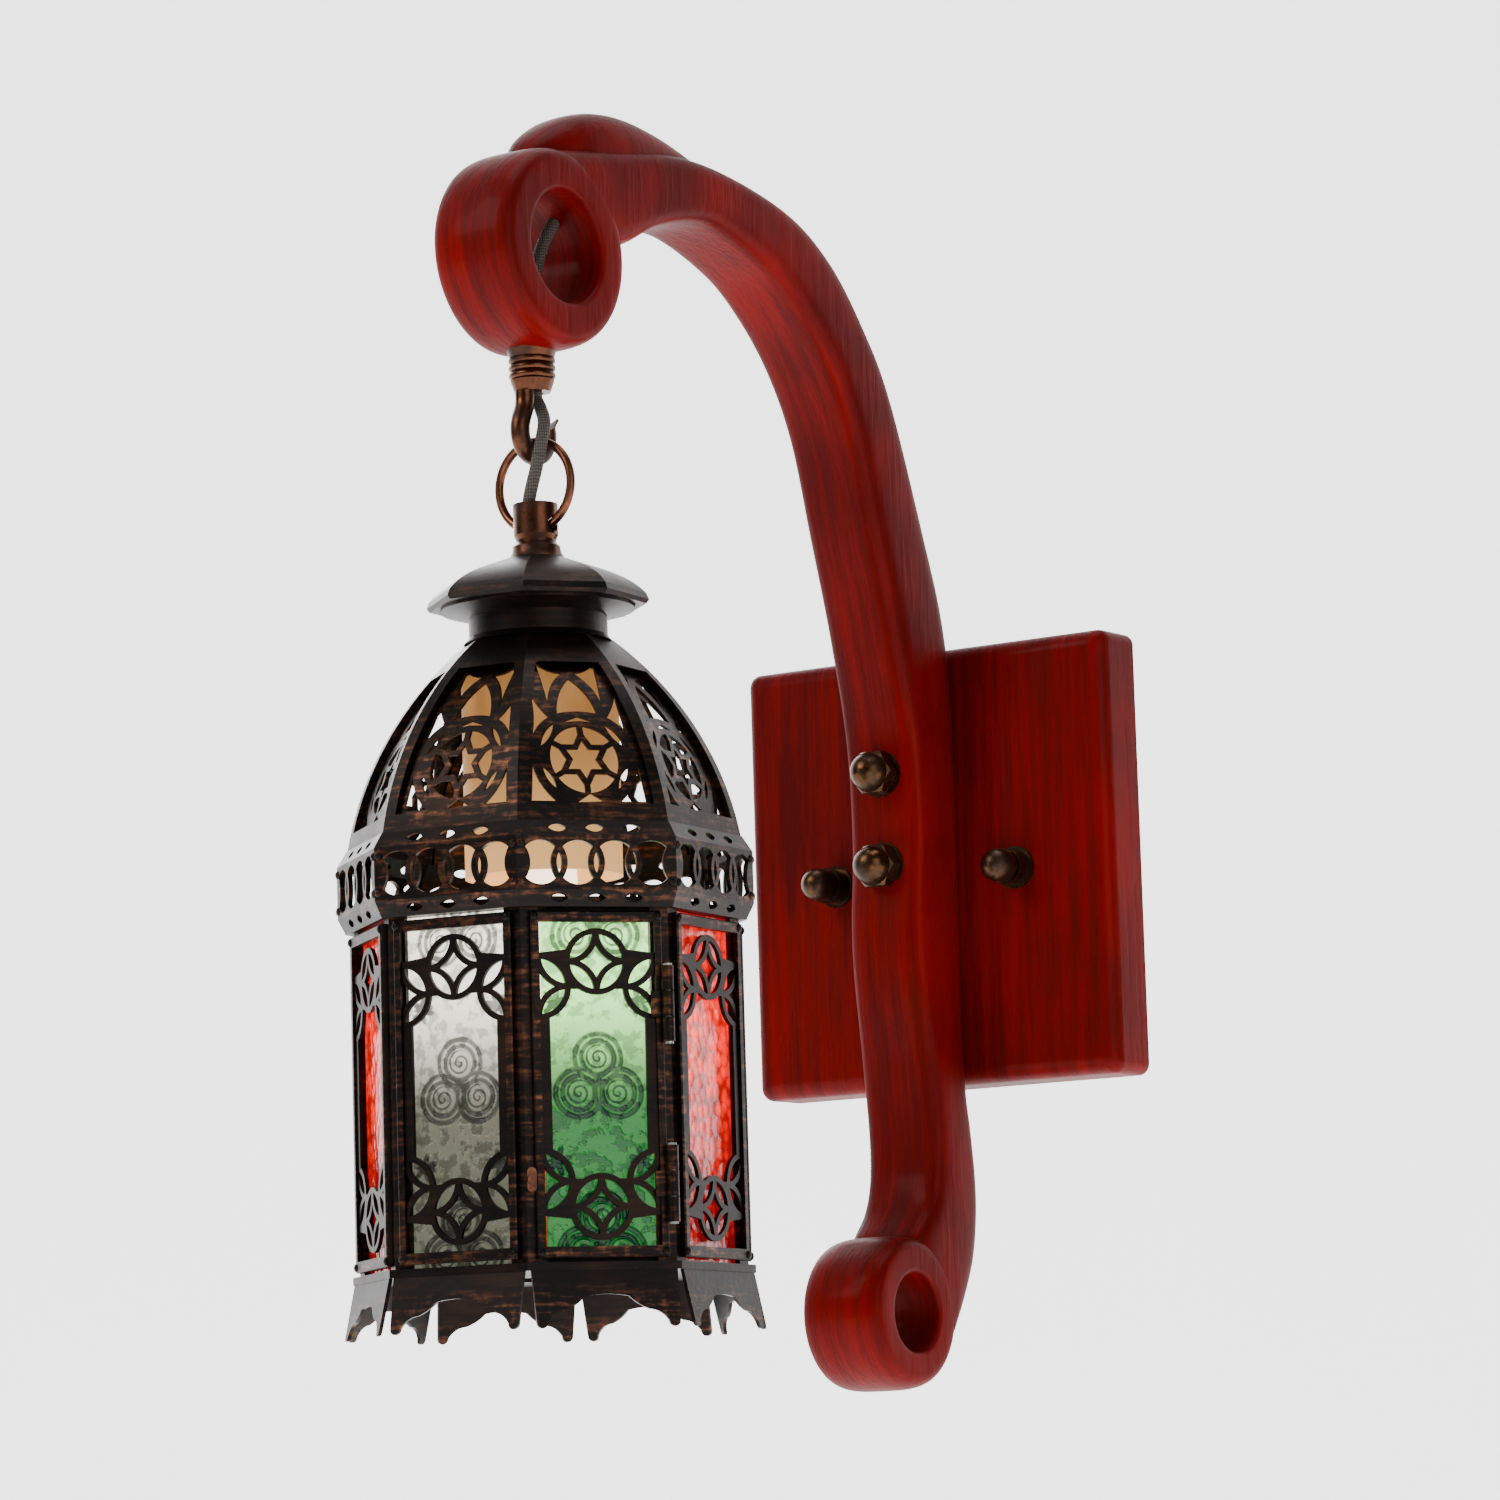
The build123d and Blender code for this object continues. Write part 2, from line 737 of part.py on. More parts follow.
with BuildPart() as hook:
    with BuildLine(Plane.YZ) as hook_path:
        Line((hook_line, nipple_bottom - seat_gap), (hook_line, nipple_bottom - 3.0))
        Spline(
            (hook_line, nipple_bottom - 3.0),
            (-reach - hook_bowl_radius, bowl_centre + 0.5),
            tangents=[(0, -1), (0, -1)],
        )
        Line((-reach - hook_bowl_radius, bowl_centre + 0.5), (-reach - hook_bowl_radius, bowl_centre))
        ThreePointArc(
            (-reach - hook_bowl_radius, bowl_centre),
            (-reach, hook_bowl_height),
            tip_start,
        )
    with BuildSketch(Plane(origin=hook_path.line @ 0, z_dir=hook_path.line % 0)):
        Circle(hook_radius)
    sweep(path=hook_path.line)
    tip_place = Vector(0, -reach + hook_tip_reach, hook_tip_height)
    tip_base = hook_path.line @ 1
    with BuildSketch(Plane(origin=tip_base, z_dir=hook_path.line % 1)):
        Circle(hook_radius)
    with BuildSketch(Plane(origin=tip_place, z_dir=tip_place - tip_base)):
        Circle(0.6)
    loft()
    with BuildSketch(Plane(origin=(0, -reach - hook_step + 0.4, nipple_bottom - 0.5), z_dir=(0, 0, 1))):
        Circle(hook_tenon_radius)
    extrude(amount=hook_tenon_length)
hook.part.label = "hook"
export_step(hook.part, "parts/hook.step")

with BuildPart() as hang_ring:
    with BuildSketch(Plane(origin=(0, -reach, ring_height), x_dir=(1, 0, 0), z_dir=(0, 0, 1))):
        with Locations((ring_mean_radius, 0)):
            Circle(ring_wire_radius)
    revolve(axis=Axis((0, -reach, ring_height), (0, 1, 0)))
hang_ring.part.label = "hang_ring"
export_step(hang_ring.part, "parts/hang_ring.step")

# ---- flex between the nipple and the lantern ------------------------------------------

flex_front = -reach - 4.5
hanging_route = [
    (0.0, -flex_line, nipple_bottom - seat_gap),
    (0.0, -flex_line, 160.0),
    (4.4, -reach + 0.2, 155.5),
    (7.8, -reach - 3.4, 149.0),
    (8.2, -reach - 6.8, 140.5),
    (5.0, -reach - 6.2, 130.0),
    (0.0, flex_front, 120.5),
    (0.0, flex_front, 112.0),
]
hanging_radii = bend_radii(hanging_route)
print("flex_hanging bend radii:", [round(radius, 1) for radius in hanging_radii])

with BuildPart() as flex_hanging:
    with BuildLine() as hanging_path:
        FilletPolyline(*hanging_route, radius=hanging_radii)
    with BuildSketch(Plane(origin=hanging_path.line @ 0, z_dir=hanging_path.line % 0)):
        Circle(flex_radius)
    sweep(path=hanging_path.line)
flex_hanging.part.label = "flex_hanging"
export_step(flex_hanging.part, "parts/flex_hanging.step")

cone_top = 106.0
tube_top = collar_foot + 0.5
lantern_route = [
    (flex_front, 112.0 - seat_gap),
    (flex_front, cone_top + 1.0),
    (-reach, tube_top + 2.0),
    (-reach, holder_top + seat_gap),
]
lantern_radii = bend_radii(lantern_route)

with BuildPart() as flex_lantern:
    with BuildLine(Plane.YZ) as lantern_path:
        FilletPolyline(*lantern_route, radius=lantern_radii)
    with BuildSketch(Plane(origin=lantern_path.line @ 0, z_dir=lantern_path.line % 0)):
        Circle(flex_radius)
    sweep(path=lantern_path.line)
flex_lantern.part.label = "flex_lantern"
export_step(flex_lantern.part, "parts/flex_lantern.step")

# ---- finial collar, centre tube, roof and neck ------------------------------------------

slot_half_width = ring_wire_radius + hole_clearance + 0.9
slot_bottom = ring_bottom - ring_wire_radius - moving_gap
slot_top = ring_height - sqrt(ring_inner_radius**2 - collar_radius**2) + moving_gap

with BuildPart() as finial_collar:
    with BuildSketch(lantern_section()):
        with BuildLine():
            Polyline(
                (collar_bore, collar_top),
                (collar_radius, collar_top),
                (collar_radius, 107.0),
                (collar_radius - 0.9, 105.2),
                (collar_radius - 0.9, 104.2),
                (collar_radius + 0.6, 102.6),
            )
            ThreePointArc(
                (collar_radius + 0.6, 102.6),
                (collar_foot_radius - 1.2, 100.2),
                (collar_foot_radius, collar_foot),
            )
            Polyline(
                (collar_foot_radius, collar_foot),
                (tube_radius, collar_foot),
                (tube_radius, tube_top),
                (tube_bore, tube_top),
                (tube_bore + 0.6, tube_top + 1.0),
                (collar_bore, cone_top),
                (collar_bore, collar_top),
            )
        make_face()
    revolve(axis=lantern_axis)
    fillet(finial_collar.faces().sort_by(Axis.Z)[-1].edges(), 0.4)
    with BuildSketch(Plane(origin=(0, -reach, 0), x_dir=(0, 1, 0), z_dir=(1, 0, 0))):
        with Locations((0, (slot_top + slot_bottom) / 2)):
            SlotOverall(slot_top - slot_bottom, 2 * slot_half_width, rotation=90)
    extrude(amount=2 * collar_radius, both=True, mode=Mode.SUBTRACT)
finial_collar.part.label = "finial_collar"
export_step(finial_collar.part, "parts/finial_collar.step")

with BuildPart() as centre_tube:
    with BuildSketch(level(tube_bottom)):
        Circle(tube_radius)
        Circle(tube_bore, mode=Mode.SUBTRACT)
    extrude(amount=tube_top - seat_gap - tube_bottom)
centre_tube.part.label = "centre_tube"
export_step(centre_tube.part, "parts/centre_tube.step")

roof_apothem = roof_corner_radius * flat_ratio
roof_edge = roof_rim + roof_rim_height
lip_inset = 4.5
roof_top = collar_foot - seat_gap

with BuildPart() as roof:
    for face in range(face_count):
        with BuildPart() as roof_side:
            with BuildSketch(face_section(face)):
                with BuildLine():
                    roof_crown = Line((0, roof_top), (collar_foot_radius, roof_top))
                    top_line = Spline(
                        (collar_foot_radius, roof_top),
                        (19.0, 94.8),
                        (29.0, 90.6),
                        (roof_apothem - 1.0, roof_edge),
                    )
                    Line(top_line @ 1, (roof_apothem, roof_rim + 1.5))
                    Line((roof_apothem, roof_rim + 1.5), (roof_apothem - 1.0, roof_rim))
                    Line((roof_apothem - 1.0, roof_rim), (roof_apothem - lip_inset, roof_rim))
                    Line((roof_apothem - lip_inset, roof_rim), (roof_apothem - lip_inset, roof_rim + 1.2))
                    Line(
                        (roof_apothem - lip_inset, roof_rim + 1.2),
                        (roof_apothem - 1.0 - roof_sheet, roof_edge - roof_sheet),
                    )
                    under_line = Spline(
                        (roof_apothem - 1.0 - roof_sheet, roof_edge - roof_sheet),
                        (28.4, 90.6 - roof_sheet),
                        (18.6, 94.6 - roof_sheet),
                        (0, collar_foot - 1.0 - roof_sheet),
                    )
                    Line(under_line @ 1, roof_crown @ 0)
                make_face()
            extrude(amount=tool_length, both=True)
            with BuildSketch(Plane.XY.offset(roof_rim - 1)):
                with BuildLine():
                    wedge(face)
                make_face()
            extrude(amount=collar_foot, mode=Mode.INTERSECT)
        add(roof_side.part)
    with BuildSketch(level(roof_rim)):
        Circle(tube_radius + hole_clearance)
    extrude(amount=collar_foot, mode=Mode.SUBTRACT)
roof.part.label = "roof"
export_step(roof.part, "parts/roof.step")

flange_radius = roof_apothem - lip_inset + 2.0

with BuildPart() as neck_drum:
    with BuildSketch(lantern_section()):
        with BuildLine():
            Polyline(
                (drum_radius - drum_sheet, dome_top),
                (drum_radius + 2.0, dome_top),
                (drum_radius, dome_top + 2.4),
                (drum_radius, roof_rim - 4.0),
                (flange_radius, roof_rim - 1.2),
                (flange_radius, roof_rim),
                (drum_radius - drum_sheet, roof_rim - 2.0),
                close=True,
            )
        make_face()
    revolve(axis=lantern_axis)
neck_drum.part.label = "neck_drum"
export_step(neck_drum.part, "parts/neck_drum.step")

# ---- dome: one ribbed frame, eight pierced panels behind its windows ---------------------

window_low = dome_base + 6.5
window_high = dome_top - 13.0
window_middle = (window_low + window_high) / 2

with BuildPart() as dome_frame:
    for face in range(face_count):
        with BuildPart() as dome_flat:
            with BuildSketch(face_section(face)):
                with BuildLine():
                    shell_out = dome_side()
                    shell_in = dome_side(-rib_sheet)
                    Line(shell_out @ 0, shell_in @ 0)
                    Line(shell_out @ 1, shell_in @ 1)
                make_face()
            extrude(amount=tool_length, both=True)
            with BuildSketch(Plane.XY.offset(dome_base)):
                with BuildLine():
                    wedge(face)
                make_face()
            extrude(amount=dome_top - dome_base, mode=Mode.INTERSECT)
            with BuildSketch(face_plane(face, 0)):
                with BuildLine():
                    low_half = gore_half_width(window_low) - rib_width / 2
                    mid_half = gore_half_width(window_middle) - rib_width / 2
                    high_half = gore_half_width(window_high) - rib_width / 2
                    Line((-low_half, window_low), (low_half, window_low))
                    Line((high_half, window_high), (-high_half, window_high))
                    for side in (-1, 1):
                        ThreePointArc(
                            (side * low_half, window_low),
                            (side * mid_half, window_middle),
                            (side * high_half, window_high),
                        )
                make_face()
            extrude(amount=2 * dome_corner_radius, mode=Mode.SUBTRACT)
        add(dome_flat.part)
    with BuildSketch(level(dome_top)):
        octagon(dome_top_radius)
        Circle(tube_radius + hole_clearance, mode=Mode.SUBTRACT)
    extrude(amount=-crown_thickness)
dome_frame.part.label = "dome_frame"
export_step(dome_frame.part, "parts/dome_frame.step")

panel_set_back = rib_sheet + moving_gap
panel_top = dome_top - crown_thickness - 1.5
star_height = 12.0
star_radius = 7.6
star_bar = 2.1
cell_star_radius = 11.8
cell_radius = 13.1


def star_outline(radius):
    """Corner points of a six-pointed star with one point up."""
    points = []
    for corner in range(12):
        reach_out = radius if corner % 2 == 0 else radius / sqrt(3)
        angle = radians(90 + 30 * corner)
        points.append((reach_out * cos(angle), reach_out * sin(angle)))
    return points


centre_holes = [
    ([(-7.7, 18.5), (7.7, 18.5), (0.0, 33.0)], [0.9, -1.6, -1.6]),
    ([(-5.5, 14.9), (0.0, 15.5), (6.0, 14.9), (0.0, 17.0)], [0.0, 0.0, 0.0, 0.0]),
    ([(-4.2, -16.7), (5.4, -16.3), (0.8, -13.4)], [0.0, 0.0, 0.0]),
]
side_holes = [
    ([(11.3, 40.0), (2.5, 35.5), (10.4, 21.6)], [1.2, 1.6, 0.0]),
    ([(16.3, 27.7), (11.3, 17.0), (18.7, 9.0)], [0.8, 0.8, 0.8]),
    ([(16.0, 5.3), (9.8, 13.9)], [-1.1, -1.1]),
    ([(20.2, -2.4), (12.5, -16.3), (22.0, -16.3)], [1.4, 0.0, 0.0]),
    ([(16.3, -3.3), (11.9, -11.4)], [-1.1, -1.1]),
]
panel_holes = list(centre_holes)
for points, bulges in side_holes:
    panel_holes.extend(both_sides(points, bulges))

for face in range(face_count):
    with BuildPart() as dome_panel:
        with BuildSketch(face_section(face)):
            with BuildLine():
                panel_out = dome_side(-panel_set_back)
                panel_in = dome_side(-panel_set_back - panel_sheet)
                Line(panel_out @ 0, panel_in @ 0)
                Line(panel_out @ 1, panel_in @ 1)
            make_face()
        extrude(amount=tool_length, both=True)
        with BuildSketch(Plane.XY.offset(dome_base)):
            with BuildLine():
                wedge(face, skirt_corner_gap / 2)
            make_face()
        extrude(amount=panel_top - dome_base, mode=Mode.INTERSECT)
        with BuildSketch(face_plane(face, 0, star_height)):
            Circle(cell_radius)
            Polygon(*star_outline(cell_star_radius), align=None, mode=Mode.SUBTRACT)
            for turn in (90, 30, -30):
                Rectangle(2 * cell_radius, star_bar, rotation=turn, mode=Mode.SUBTRACT)
            Polygon(*star_outline(star_radius), align=None)
            for points, bulges in panel_holes:
                with BuildLine():
                    curved_outline(points, bulges)
                make_face()
        extrude(amount=2 * dome_corner_radius, mode=Mode.SUBTRACT)
    panel_name = f"dome_panel_{face + 1}"
    dome_panel.part.label = panel_name
    export_step(dome_panel.part, f"parts/{panel_name}.step")

# ---- cornice with its interlaced circles ---------------------------------------------------

cornice_face = post_face + cornice_swell + 1.0
cornice_pitch = 14.2
cornice_circle = 9.2
cornice_bar = 2.0
cornice_middle = (dome_base + body_top) / 2


def across(radius, offset):
    """Half chord of a circle at an offset from its centre."""
    return sqrt(radius**2 - offset**2)


def leaf(centre, half_length, half_width, angle):
    """Outline of a pointed leaf, two equal arcs."""
    along = Vector(half_length * cos(radians(angle)), half_length * sin(radians(angle)))
    start = Vector(*centre) - along
    end = Vector(*centre) + along
    SagittaArc(start, end, half_width)
    SagittaArc(end, start, half_width)


leaf_half = across(cornice_circle - cornice_bar / 2, cornice_pitch / 2)
leaf_bulge = cornice_circle - cornice_bar / 2 - cornice_pitch / 2
edge_leaf_height = (dome_base - body_top) / 2 - 3.0


def hourglass(centre):
    """Outline of the hole inside one circle, between its two neighbours."""
    inner, outer = cornice_circle - cornice_bar / 2, cornice_circle + cornice_bar / 2
    x = (inner**2 - outer**2 + cornice_pitch**2) / (2 * cornice_pitch)
    y = across(inner, x)
    for side in (1, -1):
        ThreePointArc((centre + x, side * y), (centre, side * inner), (centre - x, side * y))
        ThreePointArc(
            (centre + side * x, -y), (centre + side * (cornice_pitch - outer), 0), (centre + side * x, y)
        )


cornice_out = [
    (cornice_face - 2.8, body_top),
    (cornice_face, body_top + 6.0),
    (cornice_face, dome_base - 6.0),
    (cornice_face - 3.6, dome_base),
]
cornice_in = [(x - cornice_sheet, y) for x, y in reversed(cornice_out)]

with BuildPart() as cornice:
    for face in range(face_count):
        with BuildPart() as cornice_side:
            with BuildSketch(face_section(face)):
                with BuildLine():
                    Polyline(*cornice_out, *cornice_in, close=True)
                make_face()
            extrude(amount=tool_length, both=True)
            with BuildSketch(Plane.XY.offset(body_top)):
                with BuildLine():
                    wedge(face)
                make_face()
            extrude(amount=dome_base - body_top, mode=Mode.INTERSECT)
            with BuildSketch(face_plane(face, 0, cornice_middle)):
                for place in (-1.5, -0.5, 0.5, 1.5):
                    with BuildLine():
                        hourglass(place * cornice_pitch)
                    make_face()
                for place in (-1, 0, 1):
                    with BuildLine():
                        leaf((place * cornice_pitch, 0), leaf_half, leaf_bulge, 90)
                    make_face()
                    for side in (-1, 1):
                        with BuildLine():
                            leaf((place * cornice_pitch, side * edge_leaf_height), 3.5, 1.5, 0)
                        make_face()
            extrude(amount=2 * dome_corner_radius, mode=Mode.SUBTRACT)
        add(cornice_side.part)
cornice.part.label = "cornice"
export_step(cornice.part, "parts/cornice.step")

# ---- body: top ring, corner posts and floor plate --------------------------------------------

ring_face = cornice_face - 2.8 - cornice_sheet - seat_gap
lip_face = glass_face - glass_thickness - seat_gap


def corner_of(apothem):
    """Corner radius of the octagon whose flats lie at an apothem."""
    return apothem / flat_ratio


with BuildPart() as top_ring:
    with BuildSketch(level(body_top)):
        octagon(corner_of(ring_face))
    extrude(amount=top_ring_thickness)
    with BuildSketch(level(body_top)):
        octagon(corner_of(lip_face - lip_sheet - 4.0))
    extrude(amount=top_ring_thickness, mode=Mode.SUBTRACT)
    with BuildSketch(level(body_top)):
        octagon(corner_of(lip_face))
    extrude(amount=-lip_height)
    with BuildSketch(level(body_top)):
        octagon(corner_of(lip_face - lip_sheet))
    extrude(amount=-lip_height, mode=Mode.SUBTRACT)
top_ring.part.label = "top_ring"
export_step(top_ring.part, "parts/top_ring.step")

with BuildPart() as corner_posts:
    with BuildSketch(level(body_bottom)):
        octagon(body_corner_radius)
    extrude(amount=body_height)
    with BuildSketch(level(body_bottom)):
        octagon(body_corner_radius - post_sheet / flat_ratio)
    extrude(amount=body_height, mode=Mode.SUBTRACT)
    for face in range(face_count):
        with BuildSketch(face_plane(face, 0, body_middle)):
            Rectangle(2 * (post_face * side_ratio - post_flange), body_height)
        extrude(amount=body_corner_radius, mode=Mode.SUBTRACT)
corner_posts.part.label = "corner_posts"
export_step(corner_posts.part, "parts/corner_posts.step")

with BuildPart() as floor_plate:
    with BuildSketch(level(body_bottom)):
        octagon(corner_of(post_face + floor_overhang))
    extrude(amount=-floor_thickness)
    with BuildSketch(level(body_bottom)):
        octagon(corner_of(lip_face))
    extrude(amount=lip_height)
    with BuildSketch(level(body_bottom)):
        octagon(corner_of(lip_face - lip_sheet))
    extrude(amount=lip_height, mode=Mode.SUBTRACT)
    with BuildSketch(level(body_bottom)):
        Circle(floor_hole_radius)
    extrude(amount=-floor_thickness, mode=Mode.SUBTRACT)
floor_plate.part.label = "floor_plate"
export_step(floor_plate.part, "parts/floor_plate.step")

# ---- grilles, panes and door --------------------------------------------------------------

fret_in = fret_radius - fret_bar / 2
fret_out = fret_radius + fret_bar / 2
fret_centre = window_half_height - fret_drop
side_centre = fret_centre - fret_side_drop
opening_half_width = window_half_width - fret_side_strip
opening_top = fret_centre - fret_in
diagonal = fret_radius / sqrt(2)
leaf_length = across(fret_in, diagonal)
star_reach = fret_radius - across(fret_out, fret_radius)
star_bulge = fret_out - across(fret_out, star_reach / sqrt(2))
bar_low = side_centre + fret_out + 0.1
bar_high = fret_centre + 4.4
arch_end = across(fret_out, bar_high - fret_centre)


with BuildPart() as fret_panel:
    with BuildSketch(Plane.XY):
        Rectangle(grille_width, grille_height)
    extrude(amount=grille_depth)
    chamfer(fret_panel.faces().sort_by(Axis.Z)[-1].edges(), 0.5)
    with BuildSketch(Plane.XY.offset(grille_depth - grille_relief)):
        Rectangle(2 * window_half_width, 2 * window_half_height)
    extrude(amount=grille_relief, mode=Mode.SUBTRACT)
    with BuildSketch(Plane.XY):
        with BuildLine():
            right = opening_half_width
            low = across(fret_out, fret_side_strip) - side_centre
            top = opening_top
            slant = fret_out / sqrt(2)
            notch = window_half_width - across(fret_out, opening_top - side_centre)
            tip = across(fret_out, opening_top - fret_centre)
            for turn in (1, -1):
                Line((turn * right, turn * low), (turn * right, -turn * low))
                ThreePointArc(
                    (turn * right, -turn * low),
                    (turn * (window_half_width - slant), turn * (side_centre - slant)),
                    (turn * notch, turn * top),
                )
                Line((turn * notch, turn * top), (turn * tip, turn * top))
                ThreePointArc(
                    (turn * tip, turn * top),
                    (0, turn * (fret_centre - fret_out)),
                    (-turn * tip, turn * top),
                )
                Line((-turn * tip, turn * top), (-turn * notch, turn * top))
                ThreePointArc(
                    (-turn * notch, turn * top),
                    (-turn * (window_half_width - slant), turn * (side_centre - slant)),
                    (-turn * right, -turn * low),
                )
        make_face()
        for end in (-1, 1):
            with BuildLine():
                Polyline(
                    (-arch_end, end * bar_high),
                    (-window_half_width, end * bar_low),
                    (-window_half_width, end * window_half_height),
                    (window_half_width, end * window_half_height),
                    (window_half_width, end * bar_low),
                    (arch_end, end * bar_high),
                )
                ThreePointArc(
                    (arch_end, end * bar_high),
                    (0, end * (fret_centre + fret_out)),
                    (-arch_end, end * bar_high),
                )
            make_face()
            star = [(star_reach, 0), (0, star_reach), (-star_reach, 0), (0, -star_reach)]
            with BuildLine():
                curved_outline([(x, y + end * fret_centre) for x, y in star], [star_bulge] * 4)
            make_face()
            for across_side in (-1, 1):
                half_star = [(0, star_reach), (-star_reach, 0), (0, -star_reach)]
                shifted = [
                    (across_side * (window_half_width + x), y + end * side_centre) for x, y in half_star
                ]
                with BuildLine():
                    curved_outline(shifted, [across_side * star_bulge, across_side * star_bulge, 0])
                make_face()
                for rise in (-1, 1):
                    step = fret_radius / 2
                    tilt = -45 * across_side * rise
                    with BuildLine():
                        leaf(
                            (across_side * step, end * fret_centre + rise * step),
                            leaf_length,
                            fret_in - diagonal,
                            tilt,
                        )
                    make_face()
                    with BuildLine():
                        leaf(
                            (across_side * (window_half_width - step), end * side_centre + rise * step),
                            leaf_length,
                            fret_in - diagonal,
                            -tilt,
                        )
                    make_face()
    extrude(amount=grille_depth, mode=Mode.SUBTRACT)

for face in range(face_count):
    if face != door_index:
        with BuildPart() as grille:
            with Locations(face_plane(face, post_face, body_middle)):
                add(fret_panel.part)
        grille_name = f"grille_{(face - door_index) % face_count}"
        grille.part.label = grille_name
        export_step(grille.part, f"parts/{grille_name}.step")
        with BuildPart() as pane:
            with BuildSketch(face_plane(face, glass_face, body_middle)):
                Rectangle(glass_width, body_height - 2 * moving_gap)
            extrude(amount=-glass_thickness)
        pane_name = f"pane_{(face - door_index) % face_count}"
        pane.part.label = pane_name
        export_step(pane.part, f"parts/{pane_name}.step")

with BuildPart() as door_frame:
    with Locations(face_plane(door_index, post_face, body_middle)):
        add(fret_panel.part)
door_frame.part.label = "door_frame"
export_step(door_frame.part, "parts/door_frame.step")

with BuildPart() as door_pane:
    with BuildSketch(face_plane(door_index, post_face, body_middle)):
        Rectangle(door_glass_width, door_glass_height)
    extrude(amount=-glass_thickness)
door_pane.part.label = "door_pane"
export_step(door_pane.part, "parts/door_pane.step")

clip_places = [
    (side * door_clip_spacing / 2, end * door_glass_height / 2) for side in (-1, 1) for end in (-1, 1)
]
foot_height = (door_glass_height + door_clip_reach) / 2
clip_feet = [(side * door_clip_spacing / 2, end * foot_height) for side in (-1, 1) for end in (-1, 1)]
with BuildPart() as door_clips:
    with BuildSketch(face_plane(door_index, post_face - glass_thickness, body_middle)):
        with Locations(*clip_places):
            Rectangle(door_clip_width, 2 * door_clip_reach)
    extrude(amount=-door_clip_sheet)
    with BuildSketch(face_plane(door_index, post_face, body_middle)):
        with Locations(*clip_feet):
            Rectangle(door_clip_width, door_clip_reach)
    extrude(amount=-glass_thickness)
door_clips.part.label = "door_clips"
export_step(door_clips.part, "parts/door_clips.step")

door_face = post_face + grille_depth
hinge_apothem = door_face + door_hinge_stand_off
hinge_lateral = grille_width / 2 + hinge_side_step
knuckle = hinge_length / 3
leaf_reach = hinge_leaf_width + hinge_side_step
hinge_centre = outward(door_index) * hinge_apothem + sideways(door_index) * hinge_lateral


def hinge_plane(height):
    """Horizontal plane on the hinge line: x runs along the door, y points at the axis."""
    origin = Vector(0, -reach, height) + hinge_centre
    return Plane(origin=origin, x_dir=sideways(door_index), z_dir=(0, 0, 1))


with BuildPart() as hinge_leaves_post:
    for height in hinge_heights:
        for low in (-hinge_length / 2, knuckle / 2 + moving_gap):
            with BuildSketch(hinge_plane(height + low)):
                Circle(hinge_barrel_radius)
                with Locations((hinge_barrel_radius - hinge_web / 2, (hinge_apothem - post_face) / 2)):
                    Rectangle(hinge_web, hinge_apothem - post_face)
                Circle(hinge_pin_radius + running_clearance, mode=Mode.SUBTRACT)
            extrude(amount=knuckle - moving_gap)
hinge_leaves_post.part.label = "hinge_leaves_post"
export_step(hinge_leaves_post.part, "parts/hinge_leaves_post.step")

with BuildPart() as hinge_leaves_door:
    for height in hinge_heights:
        with BuildSketch(hinge_plane(height - knuckle / 2)):
            Circle(hinge_barrel_radius)
            with Locations((-leaf_reach / 2, door_hinge_stand_off - hinge_leaf_sheet / 2)):
                Rectangle(leaf_reach, hinge_leaf_sheet)
            Circle(hinge_pin_radius + running_clearance, mode=Mode.SUBTRACT)
        extrude(amount=knuckle)
hinge_leaves_door.part.label = "hinge_leaves_door"
export_step(hinge_leaves_door.part, "parts/hinge_leaves_door.step")

with BuildPart() as hinge_pins:
    for height in hinge_heights:
        with BuildSketch(hinge_plane(height - hinge_length / 2)):
            Circle(hinge_pin_radius)
        extrude(amount=hinge_length)
        for end in (-1, 1):
            with BuildSketch(hinge_plane(height + end * hinge_length / 2)):
                Circle(hinge_head_radius)
            extrude(amount=end * hinge_head_height)
hinge_pins.part.label = "hinge_pins"
export_step(hinge_pins.part, "parts/hinge_pins.step")

button_face = door_face + moving_gap
with BuildPart() as latch_button:
    with BuildSketch(face_plane(door_index, button_face, latch_height)):
        with Locations((-latch_lateral, 0)):
            SlotOverall(latch_length, latch_width, rotation=90)
            Circle(latch_rivet_radius + running_clearance, mode=Mode.SUBTRACT)
    extrude(amount=latch_sheet)
latch_button.part.label = "latch_button"
export_step(latch_button.part, "parts/latch_button.step")

with BuildPart() as latch_rivet:
    with BuildSketch(face_plane(door_index, post_face, latch_height)):
        with Locations((-latch_lateral, 0)):
            Circle(latch_rivet_radius + moving_gap)
    extrude(amount=button_face - seat_gap - post_face)
    with BuildSketch(face_plane(door_index, post_face, latch_height)):
        with Locations((-latch_lateral, 0)):
            Circle(latch_rivet_radius)
    extrude(amount=button_face + latch_sheet + seat_gap - post_face)
    with BuildSketch(face_plane(door_index, button_face + latch_sheet + seat_gap, latch_height)):
        with Locations((-latch_lateral, 0)):
            Circle(latch_rivet_radius + 0.7)
    extrude(amount=latch_rivet_radius * 0.6)
latch_rivet.part.label = "latch_rivet"
export_step(latch_rivet.part, "parts/latch_rivet.step")

# ---- skirt ------------------------------------------------------------------------------

skirt_face = post_face + floor_overhang - 0.2
skirt_spread = tan(radians(skirt_flare)) * skirt_length
skirt_top = body_bottom - floor_thickness
skirt_half = skirt_face * side_ratio

